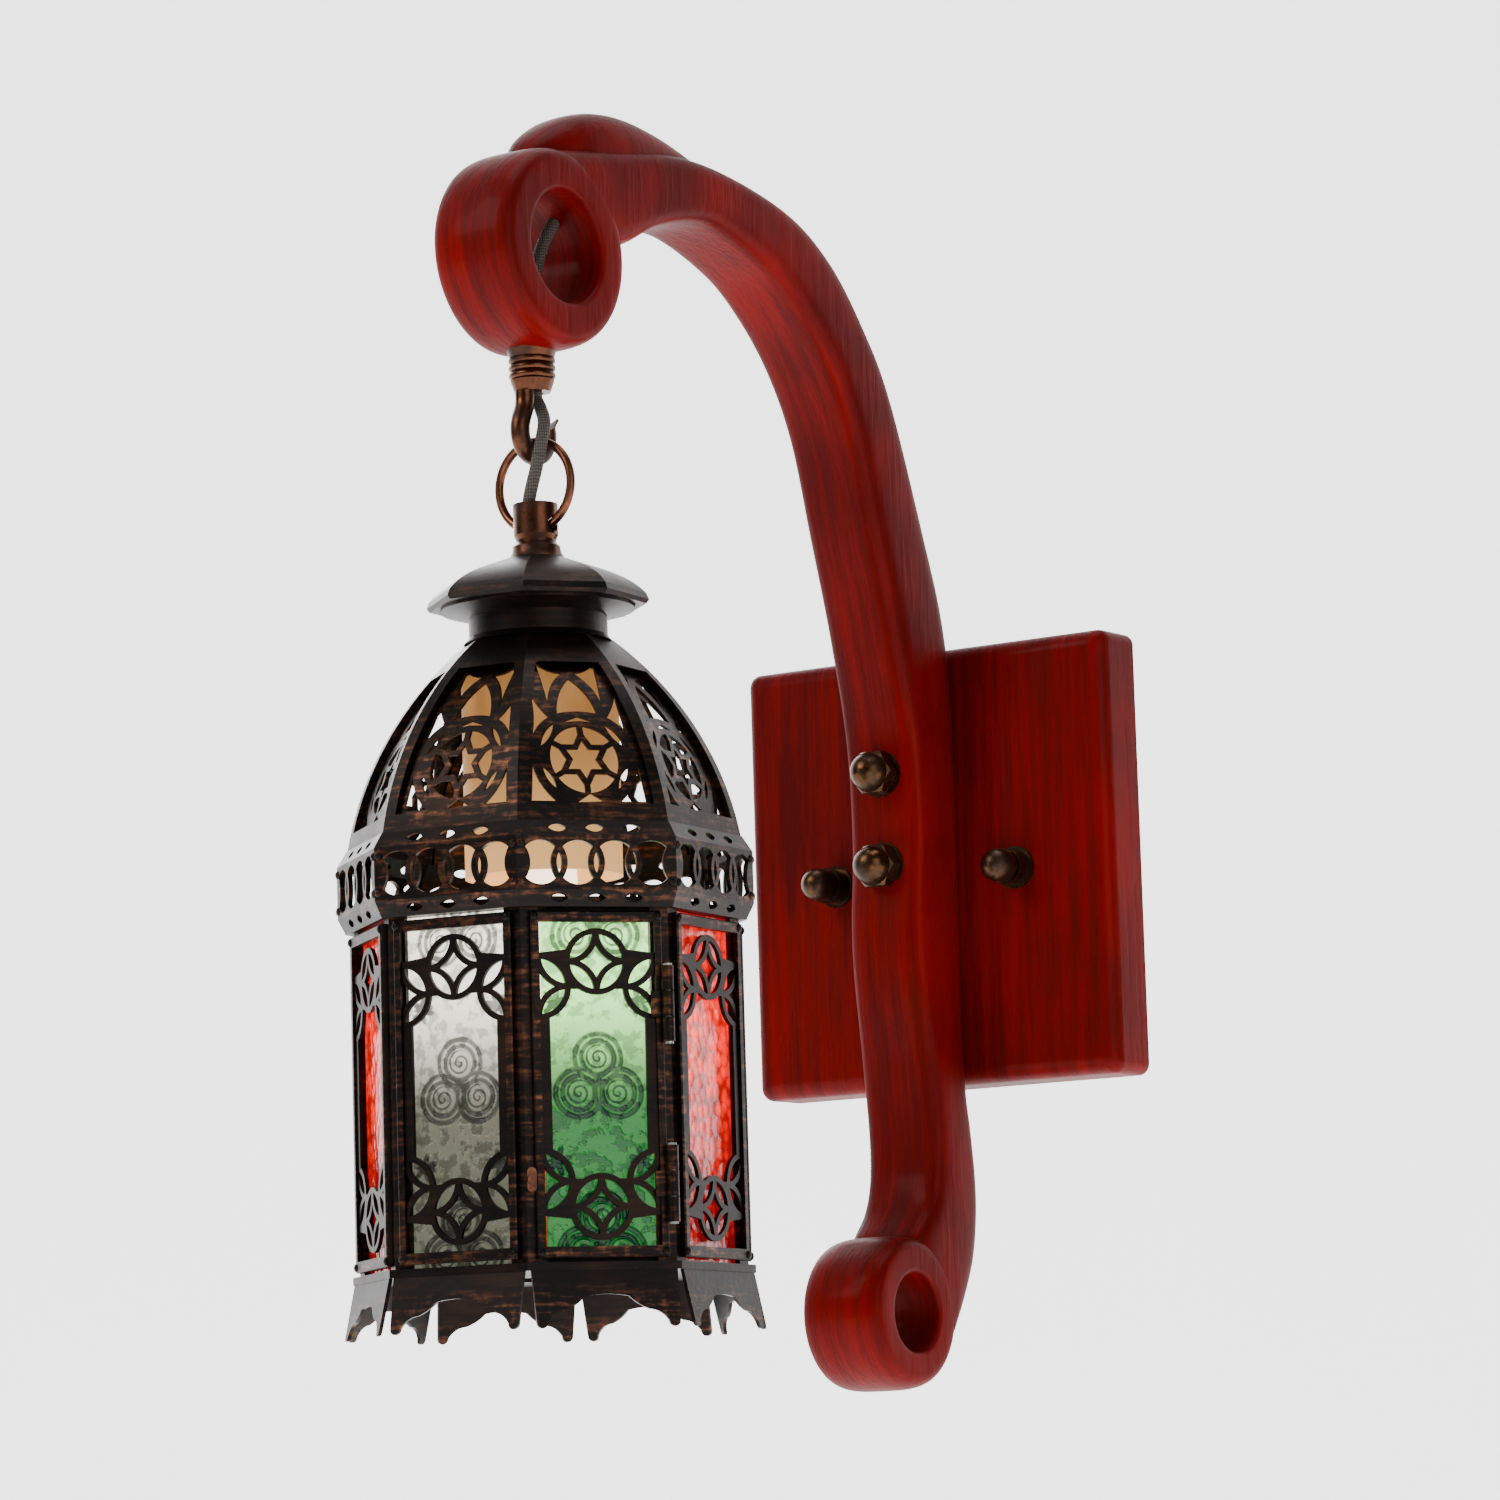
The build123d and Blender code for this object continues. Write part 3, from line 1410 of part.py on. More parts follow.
with BuildPart() as skirt_plates:
    for face in range(face_count):
        with BuildPart() as skirt_plate:
            with BuildSketch(face_section(face)):
                with BuildLine():
                    Polyline(
                        (skirt_face, skirt_top),
                        (skirt_face + skirt_spread, skirt_top - skirt_length),
                        (skirt_face + skirt_spread - skirt_sheet, skirt_top - skirt_length),
                        (skirt_face - skirt_sheet, skirt_top),
                        close=True,
                    )
                make_face()
            extrude(amount=tool_length, both=True)
            with BuildSketch(face_plane(face, 0, skirt_top)):
                with BuildLine():
                    edge = skirt_half - skirt_corner_gap
                    Line((-edge, 0), (edge, 0))
                    for side in (1, -1):
                        Line((side * edge, 0), (side * 0.98 * edge, -0.9 * skirt_length))
                        ThreePointArc(
                            (side * 0.98 * edge, -0.9 * skirt_length),
                            (side * 0.91 * edge, -skirt_length),
                            (side * 0.83 * edge, -0.9 * skirt_length),
                        )
                        Spline(
                            (side * 0.83 * edge, -0.9 * skirt_length),
                            (side * 0.72 * edge, -0.75 * skirt_length),
                            (side * 0.57 * edge, -0.69 * skirt_length),
                        )
                        Spline(
                            (side * 0.57 * edge, -0.69 * skirt_length),
                            (side * 0.43 * edge, -0.6 * skirt_length),
                            (side * 0.3 * edge, -0.46 * skirt_length),
                        )
                    ThreePointArc(
                        (0.3 * edge, -0.46 * skirt_length),
                        (0, -0.42 * skirt_length),
                        (-0.3 * edge, -0.46 * skirt_length),
                    )
                make_face()
            extrude(amount=2 * body_corner_radius, mode=Mode.INTERSECT)
        add(skirt_plate.part)
skirt_plates.part.label = "skirt_plates"
export_step(skirt_plates.part, "parts/skirt_plates.step")

# ---- lamp: lampholder, sleeve and bulb --------------------------------------------------------

nut_under_crown = dome_top - crown_thickness
with BuildPart() as tube_nuts:
    for low in (nut_under_crown - tube_nut_height, holder_top + sleeve_wall):
        with BuildSketch(level(low)):
            RegularPolygon(radius=tube_nut_flats / 2, side_count=6, major_radius=False)
            Circle(tube_radius, mode=Mode.SUBTRACT)
        extrude(amount=tube_nut_height)
tube_nuts.part.label = "tube_nuts"
export_step(tube_nuts.part, "parts/tube_nuts.step")

cap_base = holder_bottom - 1.0
with BuildPart() as lampholder:
    with BuildSketch(level(holder_bottom)):
        Circle(holder_radius)
    extrude(amount=holder_length)
    chamfer(lampholder.faces().sort_by(Axis.Z)[0].edges(), 1.0)
    with BuildSketch(level(holder_bottom)):
        Circle(holder_bore)
    extrude(amount=cap_length - 1.0 + moving_gap, mode=Mode.SUBTRACT)
    with BuildSketch(level(holder_top)):
        Circle(tube_radius)
    extrude(amount=tube_bottom - holder_top, mode=Mode.SUBTRACT)
lampholder.part.label = "lampholder"
export_step(lampholder.part, "parts/lampholder.step")

with BuildPart() as candle_sleeve:
    with BuildSketch(level(sleeve_bottom)):
        Circle(sleeve_radius)
    extrude(amount=holder_top + sleeve_wall - sleeve_bottom)
    fillet(candle_sleeve.faces().sort_by(Axis.Z)[-1].edges(), 1.2)
    with BuildSketch(level(sleeve_bottom)):
        Circle(sleeve_radius - sleeve_wall)
    extrude(amount=holder_top - sleeve_bottom, mode=Mode.SUBTRACT)
    with BuildSketch(level(holder_top)):
        Circle(tube_radius + hole_clearance)
    extrude(amount=sleeve_wall, mode=Mode.SUBTRACT)
candle_sleeve.part.label = "candle_sleeve"
export_step(candle_sleeve.part, "parts/candle_sleeve.step")

with BuildPart() as bulb_cap:
    with BuildSketch(level(cap_base)):
        Circle(cap_radius)
    extrude(amount=cap_length)
    chamfer(bulb_cap.faces().sort_by(Axis.Z)[-1].edges(), 2.0)
bulb_cap.part.label = "bulb_cap"
export_step(bulb_cap.part, "parts/bulb_cap.step")

globe_height = bulb_bottom + globe_radius
neck_angle = radians(38)
with BuildPart() as bulb_glass:
    with BuildSketch(lantern_section()):
        with BuildLine():
            for wall in (0.0, glass_wall):
                ball = globe_radius - wall
                shoulder = (ball * cos(neck_angle), globe_height + ball * sin(neck_angle))
                ThreePointArc((0, bulb_bottom + wall), (ball, globe_height), shoulder)
                Spline(
                    shoulder,
                    (cap_radius - 1.0 - wall, cap_base),
                    tangents=[(-sin(neck_angle), cos(neck_angle)), (0, 1)],
                )
            Line((0, bulb_bottom), (0, bulb_bottom + glass_wall))
            Line((cap_radius - 1.0, cap_base), (cap_radius - 1.0 - glass_wall, cap_base))
        make_face()
    revolve(axis=lantern_axis)
bulb_glass.part.label = "bulb_glass"
export_step(bulb_glass.part, "parts/bulb_glass.step")
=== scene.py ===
import bpy
import numpy as np
from mathutils import Matrix, Vector


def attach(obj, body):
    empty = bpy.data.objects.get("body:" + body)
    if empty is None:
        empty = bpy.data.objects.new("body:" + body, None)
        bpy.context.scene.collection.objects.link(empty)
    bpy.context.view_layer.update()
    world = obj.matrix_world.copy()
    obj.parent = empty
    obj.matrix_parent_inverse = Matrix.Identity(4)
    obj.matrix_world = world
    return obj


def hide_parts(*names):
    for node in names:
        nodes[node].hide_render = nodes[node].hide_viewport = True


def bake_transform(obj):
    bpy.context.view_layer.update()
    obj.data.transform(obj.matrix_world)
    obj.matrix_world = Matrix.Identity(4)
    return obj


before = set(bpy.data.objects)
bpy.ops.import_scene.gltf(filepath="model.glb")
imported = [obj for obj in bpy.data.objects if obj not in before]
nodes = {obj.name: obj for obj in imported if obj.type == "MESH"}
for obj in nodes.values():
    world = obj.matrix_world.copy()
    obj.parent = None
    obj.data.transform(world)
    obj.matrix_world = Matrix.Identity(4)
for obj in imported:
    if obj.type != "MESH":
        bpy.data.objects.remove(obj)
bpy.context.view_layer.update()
axisY = -0.290
faceTurn = np.radians(7.5)
print("frame loaded")


# A socket that can be used in sums: each operator adds one Math node.
class Wire:
    def __init__(self, paint, socket):
        self.paint, self.socket = paint, socket

    def math(self, operation, *others):
        node = self.paint.tree.nodes.new("ShaderNodeMath")
        node.operation = operation
        for slotIndex, value in enumerate((self, *others)):
            self.paint.feed(node.inputs[slotIndex], value)
        return Wire(self.paint, node.outputs[0])

    def __add__(self, other): return self.math("ADD", other)
    def __radd__(self, other): return self.math("ADD", other)
    def __sub__(self, other): return self.math("SUBTRACT", other)
    def __rsub__(self, other): return (self * -1.0).math("ADD", other)
    def __mul__(self, other): return self.math("MULTIPLY", other)
    def __rmul__(self, other): return self.math("MULTIPLY", other)
    def __truediv__(self, other): return self.math("DIVIDE", other)
    def __rtruediv__(self, other): return self.math("POWER", -1.0).math("MULTIPLY", other)

    # 0 below the first value, 1 above the second, and 3t^2 - 2t^3 between
    def ramp(self, start, end):
        t = ((self - start) / (end - start)).math("MAXIMUM", 0.0).math("MINIMUM", 1.0)
        return t * t * (3.0 - 2.0 * t)


# One material; its inputs are set or fed by name.
class Paint:
    def __init__(self, name):
        self.material = bpy.data.materials.new(name)
        self.material.use_nodes = True
        self.tree = self.material.node_tree
        self.shader = self.tree.nodes["Principled BSDF"]
        self.place = self.put("ShaderNodeTexCoord", {}, {}).outputs["Object"]

    def feed(self, socket, value):
        if isinstance(value, Wire):
            self.tree.links.new(value.socket, socket)
        elif isinstance(value, bpy.types.NodeSocket):
            self.tree.links.new(value, socket)
        else:
            socket.default_value = value

    def put(self, kind, settings, sockets):
        node = self.tree.nodes.new(kind)
        for key, value in settings.items():
            setattr(node, key, value)
        for key, value in sockets.items():
            self.feed(node.inputs[key], value)
        return node

    def set(self, **sockets):
        for key, value in sockets.items():
            self.feed(self.shader.inputs[key.replace("_", " ")], value)
        return self

    def axes(self):
        split = self.put("ShaderNodeSeparateXYZ", {}, {0: self.place})
        return [Wire(self, split.outputs[i]) for i in range(3)]

    # coordinates stretched by a factor along each axis
    def stretched(self, factors):
        node = self.put("ShaderNodeVectorMath", {"operation": "MULTIPLY"}, {0: self.place, 1: factors})
        return node.outputs[0]

    def noise(self, scale, detail=4.0, factors=(1, 1, 1), rough=0.55):
        sockets = {"Vector": self.stretched(factors), "Scale": scale, "Detail": detail, "Roughness": rough}
        return Wire(self, self.put("ShaderNodeTexNoise", {}, sockets).outputs[0])

    def cells(self, scale):
        node = self.put("ShaderNodeTexVoronoi", {}, {"Vector": self.place, "Scale": scale})
        return Wire(self, node.outputs["Distance"])

    def mix(self, factor, first, second):
        node = self.put("ShaderNodeMix", {"data_type": "RGBA"}, {})
        self.feed(node.inputs[0], factor)
        self.feed(node.inputs[6], first)
        self.feed(node.inputs[7], second)
        return node.outputs[2]

    def bump(self, height, distance, strength=1.0):
        sockets = {"Height": height, "Distance": distance, "Strength": strength}
        self.feed(self.shader.inputs["Normal"], self.put("ShaderNodeBump", {}, sockets).outputs[0])
        return self

    # distance out from the octagon's nearest flat, and distance along that flat
    def flat(self):
        x, y, z = self.axes()
        away = (y - axisY) * -1.0
        radius = (x * x + away * away).math("SQRT")
        turn = x.math("ARCTAN2", away) - float(faceTurn)
        step = float(np.pi / 4)
        local = turn - (turn / step).math("ROUND") * step
        return radius * local.math("COSINE"), radius * local.math("SINE"), z


def colour(red, green, blue):
    return (red, green, blue, 1.0)


woodLook = {"front": colour(0.15, 0.0005, 0.0001), "shade": colour(0.06, 0.0003, 0.0002), "grain": 26.0}


# Dark red lacquer: long streaks down the grain, broad clouds, fine pores in the bump.
def lacqueredWood():
    p = Paint("lacquered_wood")
    streaks = p.noise(woodLook["grain"], 6.0, (9.0, 1.0, 0.55), 0.6)
    clouds = p.noise(9.0, 3.0)
    pores = p.noise(210.0, 3.0, (3.0, 1.0, 0.12))
    tone = (streaks * 0.6 + clouds * 0.55).ramp(0.42, 0.78)
    p.set(Base_Color=p.mix(tone, woodLook["shade"], woodLook["front"]))
    p.set(Roughness=0.42 + pores * 0.12 + clouds * 0.08, Coat_Weight=0.03, Coat_Roughness=0.12)
    p.set(Specular_IOR_Level=0.06)
    return p.bump(streaks * 0.5 + pores.ramp(0.45, 0.6) * 0.5, 0.0004, 0.35).material


metalLook = {
    "dark": colour(0.004, 0.0025, 0.002), "warm": colour(0.016, 0.007, 0.004),
    "rubbed": colour(0.17, 0.062, 0.03), "roughness": 0.34,
}


# Dark bronze; raised parts beyond the given distances from the axis are rubbed to copper.
def rubbedBronze(name, start, end, amount):
    p = Paint(name)
    out = p.flat()[0]
    clouds = p.noise(38.0, 5.0)
    brushed = p.noise(60.0, 4.0, (1.0, 1.0, 9.0))
    spots = p.noise(330.0, 3.0)
    warmth = (clouds * 0.7 + brushed * 0.4).ramp(0.45, 0.75)
    base = p.mix(warmth, metalLook["dark"], metalLook["warm"])
    worn = out.ramp(start, end) * (brushed * 0.8 + spots * 0.5).ramp(0.62, 0.95) * amount
    p.set(Base_Color=p.mix(worn, base, metalLook["rubbed"]), Metallic=0.82 + worn * 0.15)
    p.set(Roughness=metalLook["roughness"] + clouds * 0.18 - worn * 0.12)
    return p.bump(spots * 0.6 + clouds * 0.4, 0.00035, 0.4).material


# Dull brass: clouds of tarnish are darker, rougher and a little less metallic.
def agedBrass(name, base, tarnish, roughness):
    p = Paint(name)
    clouds = p.noise(70.0, 5.0)
    fine = p.noise(600.0, 3.0)
    dull = (clouds * 0.8 + fine * 0.3).ramp(0.42, 0.72)
    p.set(Base_Color=p.mix(dull, base, tarnish), Metallic=1.0 - dull * 0.25, Roughness=roughness + dull * 0.22)
    return p.bump(fine * 0.5 + clouds, 0.0002, 0.3).material


hammerLook = {"scale": 230.0, "lampHeight": -0.085, "reach": 0.085, "glow": 0.85, "depth": 0.0012}


# Small dents all over, lit from behind; the glow fades with height away from the lamp.
def hammeredGlass(name, deep, bright):
    p = Paint(name)
    height = p.axes()[2]
    dents = p.cells(hammerLook["scale"])
    waves = p.noise(hammerLook["scale"] * 0.45, 3.0)
    away = (height - hammerLook["lampHeight"]) / hammerLook["reach"]
    near = 1.0 - away.math("ABSOLUTE").ramp(0.0, 1.0)
    tone = (dents * 0.9 + waves * 0.5 - near * 0.18).ramp(0.3, 0.85)
    p.set(Base_Color=p.mix(tone, bright, deep), Roughness=0.1 + waves * 0.14)
    p.set(Transmission_Weight=0.5, IOR=1.45, Coat_Weight=0.3, Coat_Roughness=0.08)
    p.set(Emission_Color=p.mix(near * (1.0 - tone * 0.6), deep, bright), Emission_Strength=hammerLook["glow"])
    return p.bump(dents * 0.7 + waves * 0.3, hammerLook["depth"], 0.8).material


embossLook = {
    "pitch": 0.058, "centre": 0.108, "line": 0.0013, "depth": 0.0013,
    "ringsAt": 0.0086, "rings": (0.0088, 0.0062), "curlEdge": (0.0044, 0.0052), "curlPitch": 2600.0,
    "flower": 0.006, "flowerAt": 0.016, "petals": 6.0,
    "glowLow": 0.132, "glowRise": 0.062,
}


# Rows of trefoils with flowers between them. A ring is |distance - radius| below the line width,
# a curl is the sine of distance plus angle, and a flower's edge swells with the sine of the angle.
def embossedGlass(name, glass, deep, glowing, strength):
    p = Paint(name)
    look = embossLook
    out, along, up = p.flat()
    rise = ((up + look["centre"]) / look["pitch"] + 0.5).math("FRACT") * look["pitch"] - look["pitch"] / 2
    lines = None
    for angle in np.radians((90.0, 210.0, 330.0)):
        aside = along - float(np.cos(angle) * look["ringsAt"])
        above = rise - float(np.sin(angle) * look["ringsAt"])
        reach = (aside * aside + above * above).math("SQRT")
        for radius in look["rings"]:
            ring = 1.0 - (reach - radius).math("ABSOLUTE").ramp(look["line"] * 0.3, look["line"])
            lines = ring if lines is None else lines.math("MAXIMUM", ring)
        curl = (reach * look["curlPitch"] + above.math("ARCTAN2", aside)).math("SINE")
        lines = lines.math("MAXIMUM", curl.ramp(0.2, 0.8) * (1.0 - reach.ramp(*look["curlEdge"])))
    aside = along.math("ABSOLUTE") - look["flowerAt"]
    above = rise.math("ABSOLUTE") - look["pitch"] / 2
    reach = (aside * aside + above * above).math("SQRT")
    petals = (above.math("ARCTAN2", aside) * look["petals"]).math("SINE") * 0.3 + 0.75
    flower = 1.0 - (reach / (petals * look["flower"])).ramp(0.7, 1.0)
    raised = lines.math("MAXIMUM", flower)
    leafy = p.noise(210.0, 3.0).ramp(0.47, 0.58)
    grain = p.noise(420.0, 3.0)
    # Painted light: the whole pane emits its body colour as if lit from behind. It takes on the bright glow
    # colour from about the lamp's height upwards, fading out towards the bottom of the pane and where the
    # pattern is darker.
    near = (up + look["glowLow"]).ramp(0.0, look["glowRise"])
    near = near * near
    shade = (raised * 0.85 + leafy * 0.5 + grain * 0.2 - 0.1).math("MAXIMUM", 0.0).math("MINIMUM", 1.0)
    body = p.mix(shade, glass, deep)
    p.set(Base_Color=body, Roughness=0.12 + grain * 0.16 + raised * 0.1)
    p.set(Transmission_Weight=0.5, IOR=1.45, Emission_Strength=strength)
    p.set(Emission_Color=p.mix(near * (1.0 - shade * 0.85), body, glowing))
    return p.bump(raised + leafy * 0.35 + grain * 0.15, look["depth"], 1.0).material


# Cream sleeve, warmer and brighter towards the lamp below it.
def creamSleeve():
    p = Paint("cream_sleeve")
    glow = 1.0 - p.axes()[2].ramp(-0.03, 0.03)
    mottle = p.noise(60.0, 4.0)
    body = p.mix(mottle, colour(0.55, 0.26, 0.07), colour(0.42, 0.18, 0.045))
    p.set(Base_Color=body, Roughness=0.42 + mottle * 0.1)
    p.set(Emission_Color=p.mix(glow, colour(0.3, 0.13, 0.035), colour(1.0, 0.55, 0.2)))
    p.set(Emission_Strength=1.0)
    return p.bump(mottle, 0.0002, 0.2).material


# Frosted white globe that shines, warmer near its cap.
def litGlobe():
    p = Paint("lit_globe")
    mottle = p.noise(40.0, 3.0)
    glow = 1.0 - p.axes()[2].ramp(-0.06, -0.01)
    p.set(Base_Color=p.mix(mottle, colour(0.95, 0.94, 0.9), colour(0.88, 0.87, 0.82)))
    p.set(Emission_Color=p.mix(glow, colour(0.9, 0.75, 0.5), colour(1.0, 0.95, 0.84)))
    p.set(Roughness=0.3 + mottle * 0.1, Emission_Strength=3.2)
    return p.material


# Plain body with a slow mottle in its colour and a fine grain in its roughness.
def plainBody(name, base, other, roughness, scale, metallic=0.0):
    p = Paint(name)
    mottle = p.noise(scale, 4.0)
    fine = p.noise(scale * 8.0, 3.0)
    p.set(Base_Color=p.mix(mottle, base, other), Roughness=roughness + fine * 0.15, Metallic=metallic)
    return p.bump(fine, 0.00015, 0.3).material


# Braided sheath: the product of two sines along opposite slants.
def braidedSheath():
    p = Paint("braided_sheath")
    x, y, z = p.axes()
    threads = p.noise(900.0, 2.0)
    one = ((x + y + z) * 2600.0).math("SINE")
    two = ((x + y - z) * 2600.0).math("SINE")
    weave = (one * two * 0.5 + 0.5).ramp(0.2, 0.8)
    p.set(Base_Color=p.mix(weave, colour(0.012, 0.01, 0.009), colour(0.07, 0.055, 0.04)))
    p.set(Roughness=0.62 + threads * 0.2)
    return p.bump(weave + threads * 0.3, 0.0004, 0.7).material


wood = lacqueredWood()
fretMetal = rubbedBronze("fret_bronze", 0.0694, 0.0704, 0.95)
domeMetal = rubbedBronze("dome_bronze", 0.02, 0.07, 0.55)
panelMetal = rubbedBronze("panel_copper", 0.01, 0.03, 0.8)
corniceMetal = rubbedBronze("cornice_bronze", 0.071, 0.0735, 0.8)
postMetal = rubbedBronze("post_bronze", 0.06, 0.0681, 0.6)
nutMetal = agedBrass("nut_brass", colour(0.08, 0.037, 0.016), colour(0.02, 0.01, 0.006), 0.24)
fittingMetal = agedBrass("fitting_brass", colour(0.095, 0.036, 0.018), colour(0.02, 0.008, 0.006), 0.26)
ringMetal = agedBrass("ring_copper", colour(0.16, 0.06, 0.03), colour(0.045, 0.016, 0.01), 0.24)
steel = agedBrass("plain_steel", colour(0.42, 0.41, 0.4), colour(0.2, 0.19, 0.18), 0.32)
redGlass = hammeredGlass("red_glass", colour(0.16, 0.0, 0.0), colour(1.0, 0.01, 0.002))
greenGlass = embossedGlass(
    "green_glass", colour(0.008, 0.075, 0.012), colour(0.0, 0.008, 0.003), colour(0.5, 1.0, 0.32), 2.4)
clearGlass = embossedGlass(
    "clear_glass", colour(0.06, 0.062, 0.045), colour(0.008, 0.008, 0.006), colour(1.0, 0.96, 0.82), 2.2)
sleeveLook = creamSleeve()
globeLook = litGlobe()
holderLook = plainBody("holder_plastic", colour(0.02, 0.02, 0.02), colour(0.05, 0.045, 0.04), 0.4, 60.0)
capLook = plainBody("cap_metal", colour(0.6, 0.6, 0.6), colour(0.45, 0.45, 0.46), 0.25, 90.0, 1.0)
sheathLook = braidedSheath()

finish = {
    wood: ["wall_plate", "arm"],
    steel: ["wall_strap", "plate_studs", "arm_bolts", "centre_tube", "tube_nuts", "hinge_pins"],
    nutMetal: ["plate_nuts", "washers", "arm_nuts"],
    fittingMetal: ["eye_nipple", "nipple_locknut", "hook", "finial_collar"],
    ringMetal: ["hang_ring", "latch_button", "latch_rivet"],
    fretMetal: ["door_frame", "hinge_leaves_post", "hinge_leaves_door"] + [f"grille_{k}" for k in range(1, 8)],
    domeMetal: ["roof", "neck_drum", "dome_frame"],
    panelMetal: [f"dome_panel_{k}" for k in range(1, 9)],
    corniceMetal: ["cornice", "floor_plate", "skirt_plates"],
    postMetal: ["corner_posts", "top_ring", "door_clips"],
    redGlass: ["pane_1", "pane_4", "pane_6"],
    greenGlass: ["pane_3", "pane_5", "door_pane"],
    clearGlass: ["pane_2", "pane_7"],
    sleeveLook: ["candle_sleeve"], globeLook: ["bulb_glass"], holderLook: ["lampholder"], capLook: ["bulb_cap"],
    sheathLook: ["flex_arm", "flex_hanging", "flex_lantern"],
}
for look, names in finish.items():
    for name in names:
        nodes[name].data.materials.clear()
        nodes[name].data.materials.append(look)
print("materials set on", len(nodes), "nodes")


# A piece from points and faces, tied to its body.
def addMesh(name, points, faces, look, body, stands=()):
    mesh = bpy.data.meshes.new(name)
    mesh.from_pydata(points, [], faces)
    mesh.update()
    mesh.shade_smooth()
    piece = bpy.data.objects.new(name, mesh)
    bpy.context.scene.collection.objects.link(piece)
    mesh.materials.append(look)
    if body:
        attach(piece, body)
    if stands:
        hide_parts(*stands)
    return piece


# Quads of a grid of rows by columns; columns always close on themselves, rows when asked.
def gridFaces(rows, columns, closeRows=False):
    i, j = np.meshgrid(np.arange(rows if closeRows else rows - 1), np.arange(columns), indexing="ij")
    a, b = i * columns + j, i * columns + (j + 1) % columns
    c, d = ((i + 1) % rows) * columns + (j + 1) % columns, ((i + 1) % rows) * columns + j
    return np.stack([a, b, c, d], -1).reshape(-1, 4)


# Triangles from one row of the grid to a single point, the other way round for a first row.
def fanFaces(start, columns, tip, first):
    j = start + np.arange(columns)
    k = start + (np.arange(columns) + 1) % columns
    return np.stack([k, j, np.full(columns, tip)] if first else [j, k, np.full(columns, tip)], -1).tolist()


# A closed section carried along a path: point = centre + section x * sideways + section y * normal.
# Open ends get a fan to their middle.
def swept(centres, sideways, normals, sections, closed):
    rings = centres[:, None] + sections[..., 0:1] * sideways[:, None] + sections[..., 1:2] * normals[:, None]
    rows, columns = rings.shape[:2]
    points = rings.reshape(-1, 3)
    faces = gridFaces(rows, columns, closed).tolist()
    if not closed:
        points = np.vstack([points, rings[0].mean(0), rings[-1].mean(0)])
        faces += fanFaces(0, columns, rows * columns, True)
        faces += fanFaces((rows - 1) * columns, columns, rows * columns + 1, False)
    return points, faces


# Superellipse: |x/a|^n + |y/b|^n = 1, as unit points scaled by the half sizes.
def superellipse(halfX, halfY, power, count):
    t = np.linspace(0, 2 * np.pi, count, endpoint=False)
    cs, sn = np.cos(t), np.sin(t)
    unitX = np.sign(cs) * np.abs(cs) ** (2 / power)
    unitY = np.sign(sn) * np.abs(sn) ** (2 / power)
    unit = np.stack([unitX, unitY], -1)
    return unit[None] * np.stack([np.broadcast_to(halfX, np.shape(halfY)), halfY], -1)[:, None]


# Smooth line through given points, by Catmull-Rom pieces of equal count.
def smoothLine(points, count):
    p = np.asarray(points, float)
    p = np.vstack([2 * p[0] - p[1], p, 2 * p[-1] - p[-2]])
    t = np.linspace(0, 1, count, endpoint=False)[None, :, None]
    a, b, c, d = (p[k:len(p) - 3 + k][:, None] for k in range(4))
    out = 0.5 * (2 * b + (c - a) * t + (2 * a - 5 * b + 4 * c - d) * t ** 2 + (3 * b - a - 3 * c + d) * t ** 3)
    return np.vstack([out.reshape(-1, p.shape[1]), p[-2][None]])


# Carved arm, in millimetres: a rounded bar between two eyes, with a raised crest on the bend.
armShape = {
    "outer": [
        (-296, 256), (-262, 262.2), (-214, 269.2), (-177, 267.8), (-135, 259.5), (-107, 245), (-85, 223),
        (-65, 194), (-42, 138), (-29, 100), (-25, 60), (-25, 0), (-25, -50), (-25, -92), (-22, -112),
        (-19.4, -132), (-19.3, -148), (-22, -165), (-31, -182), (-41, -196)],
    "inner": [
        (-262, 222), (-244, 227.5), (-222, 238.2), (-190, 244.3), (-152, 234), (-128, 219), (-108, 199),
        (-93, 173), (-82, 136), (-70, 96), (-59.5, 52), (-57, 12), (-60, -33), (-54, -84), (-51.3, -112),
        (-52, -130), (-57, -144), (-68, -158), (-62, -168), (-56, -181)],
    "halfWidth": 18.9, "power": 5.0,
    "upperEye": (-290, 218, 39.4, 22), "tailEye": (-71, -187, 31.4, 16),
    "eyeHalfWidth": 18.95, "eyePower": 3.6, "holePower": 12.0, "eyeSteps": 96,
}


# Points in the arm's upright plane, from millimetres to metres.
def toRow(points):
    yz = np.asarray(points, float) / 1000
    return np.stack([np.zeros(len(yz)), yz[:, 0], yz[:, 1]], -1)


# The bar: superellipses set across the space between its outer and inner lines.
def armBar():
    outer = toRow(smoothLine(armShape["outer"], 12))
    inner = toRow(smoothLine(armShape["inner"], 12))
    centres, across = (outer + inner) / 2, outer - inner
    half = np.linalg.norm(across, axis=1) / 2
    normals = across / (2 * half[:, None])
    sideways = np.tile([1.0, 0.0, 0.0], (len(centres), 1))
    sections = superellipse(armShape["halfWidth"] / 1000, half, armShape["power"], 64)
    return swept(centres, sideways, normals, sections, False)


# An eye is a section turned once round its centre: soft outside, nearly square towards the hole.
def armEye(centreY, centreZ, outerRadius, holeRadius):
    steps = armShape["eyeSteps"]
    t = np.linspace(0, 2 * np.pi, steps, endpoint=False)
    outward = np.stack([np.zeros(steps), np.cos(t), np.sin(t)], -1)
    middle, half = (outerRadius + holeRadius) / 2000, (outerRadius - holeRadius) / 2000
    centres = np.array([0, centreY, centreZ]) / 1000 + outward * middle
    sideways = np.tile([1.0, 0.0, 0.0], (steps, 1))
    halfWidth = armShape["eyeHalfWidth"] / 1000
    soft = superellipse(halfWidth, np.full(steps, half), armShape["eyePower"], 80)
    crisp = superellipse(halfWidth, np.full(steps, half), armShape["holePower"], 80)
    return swept(centres, sideways, outward, np.where(soft[..., 1:2] < 0, crisp, soft), True)


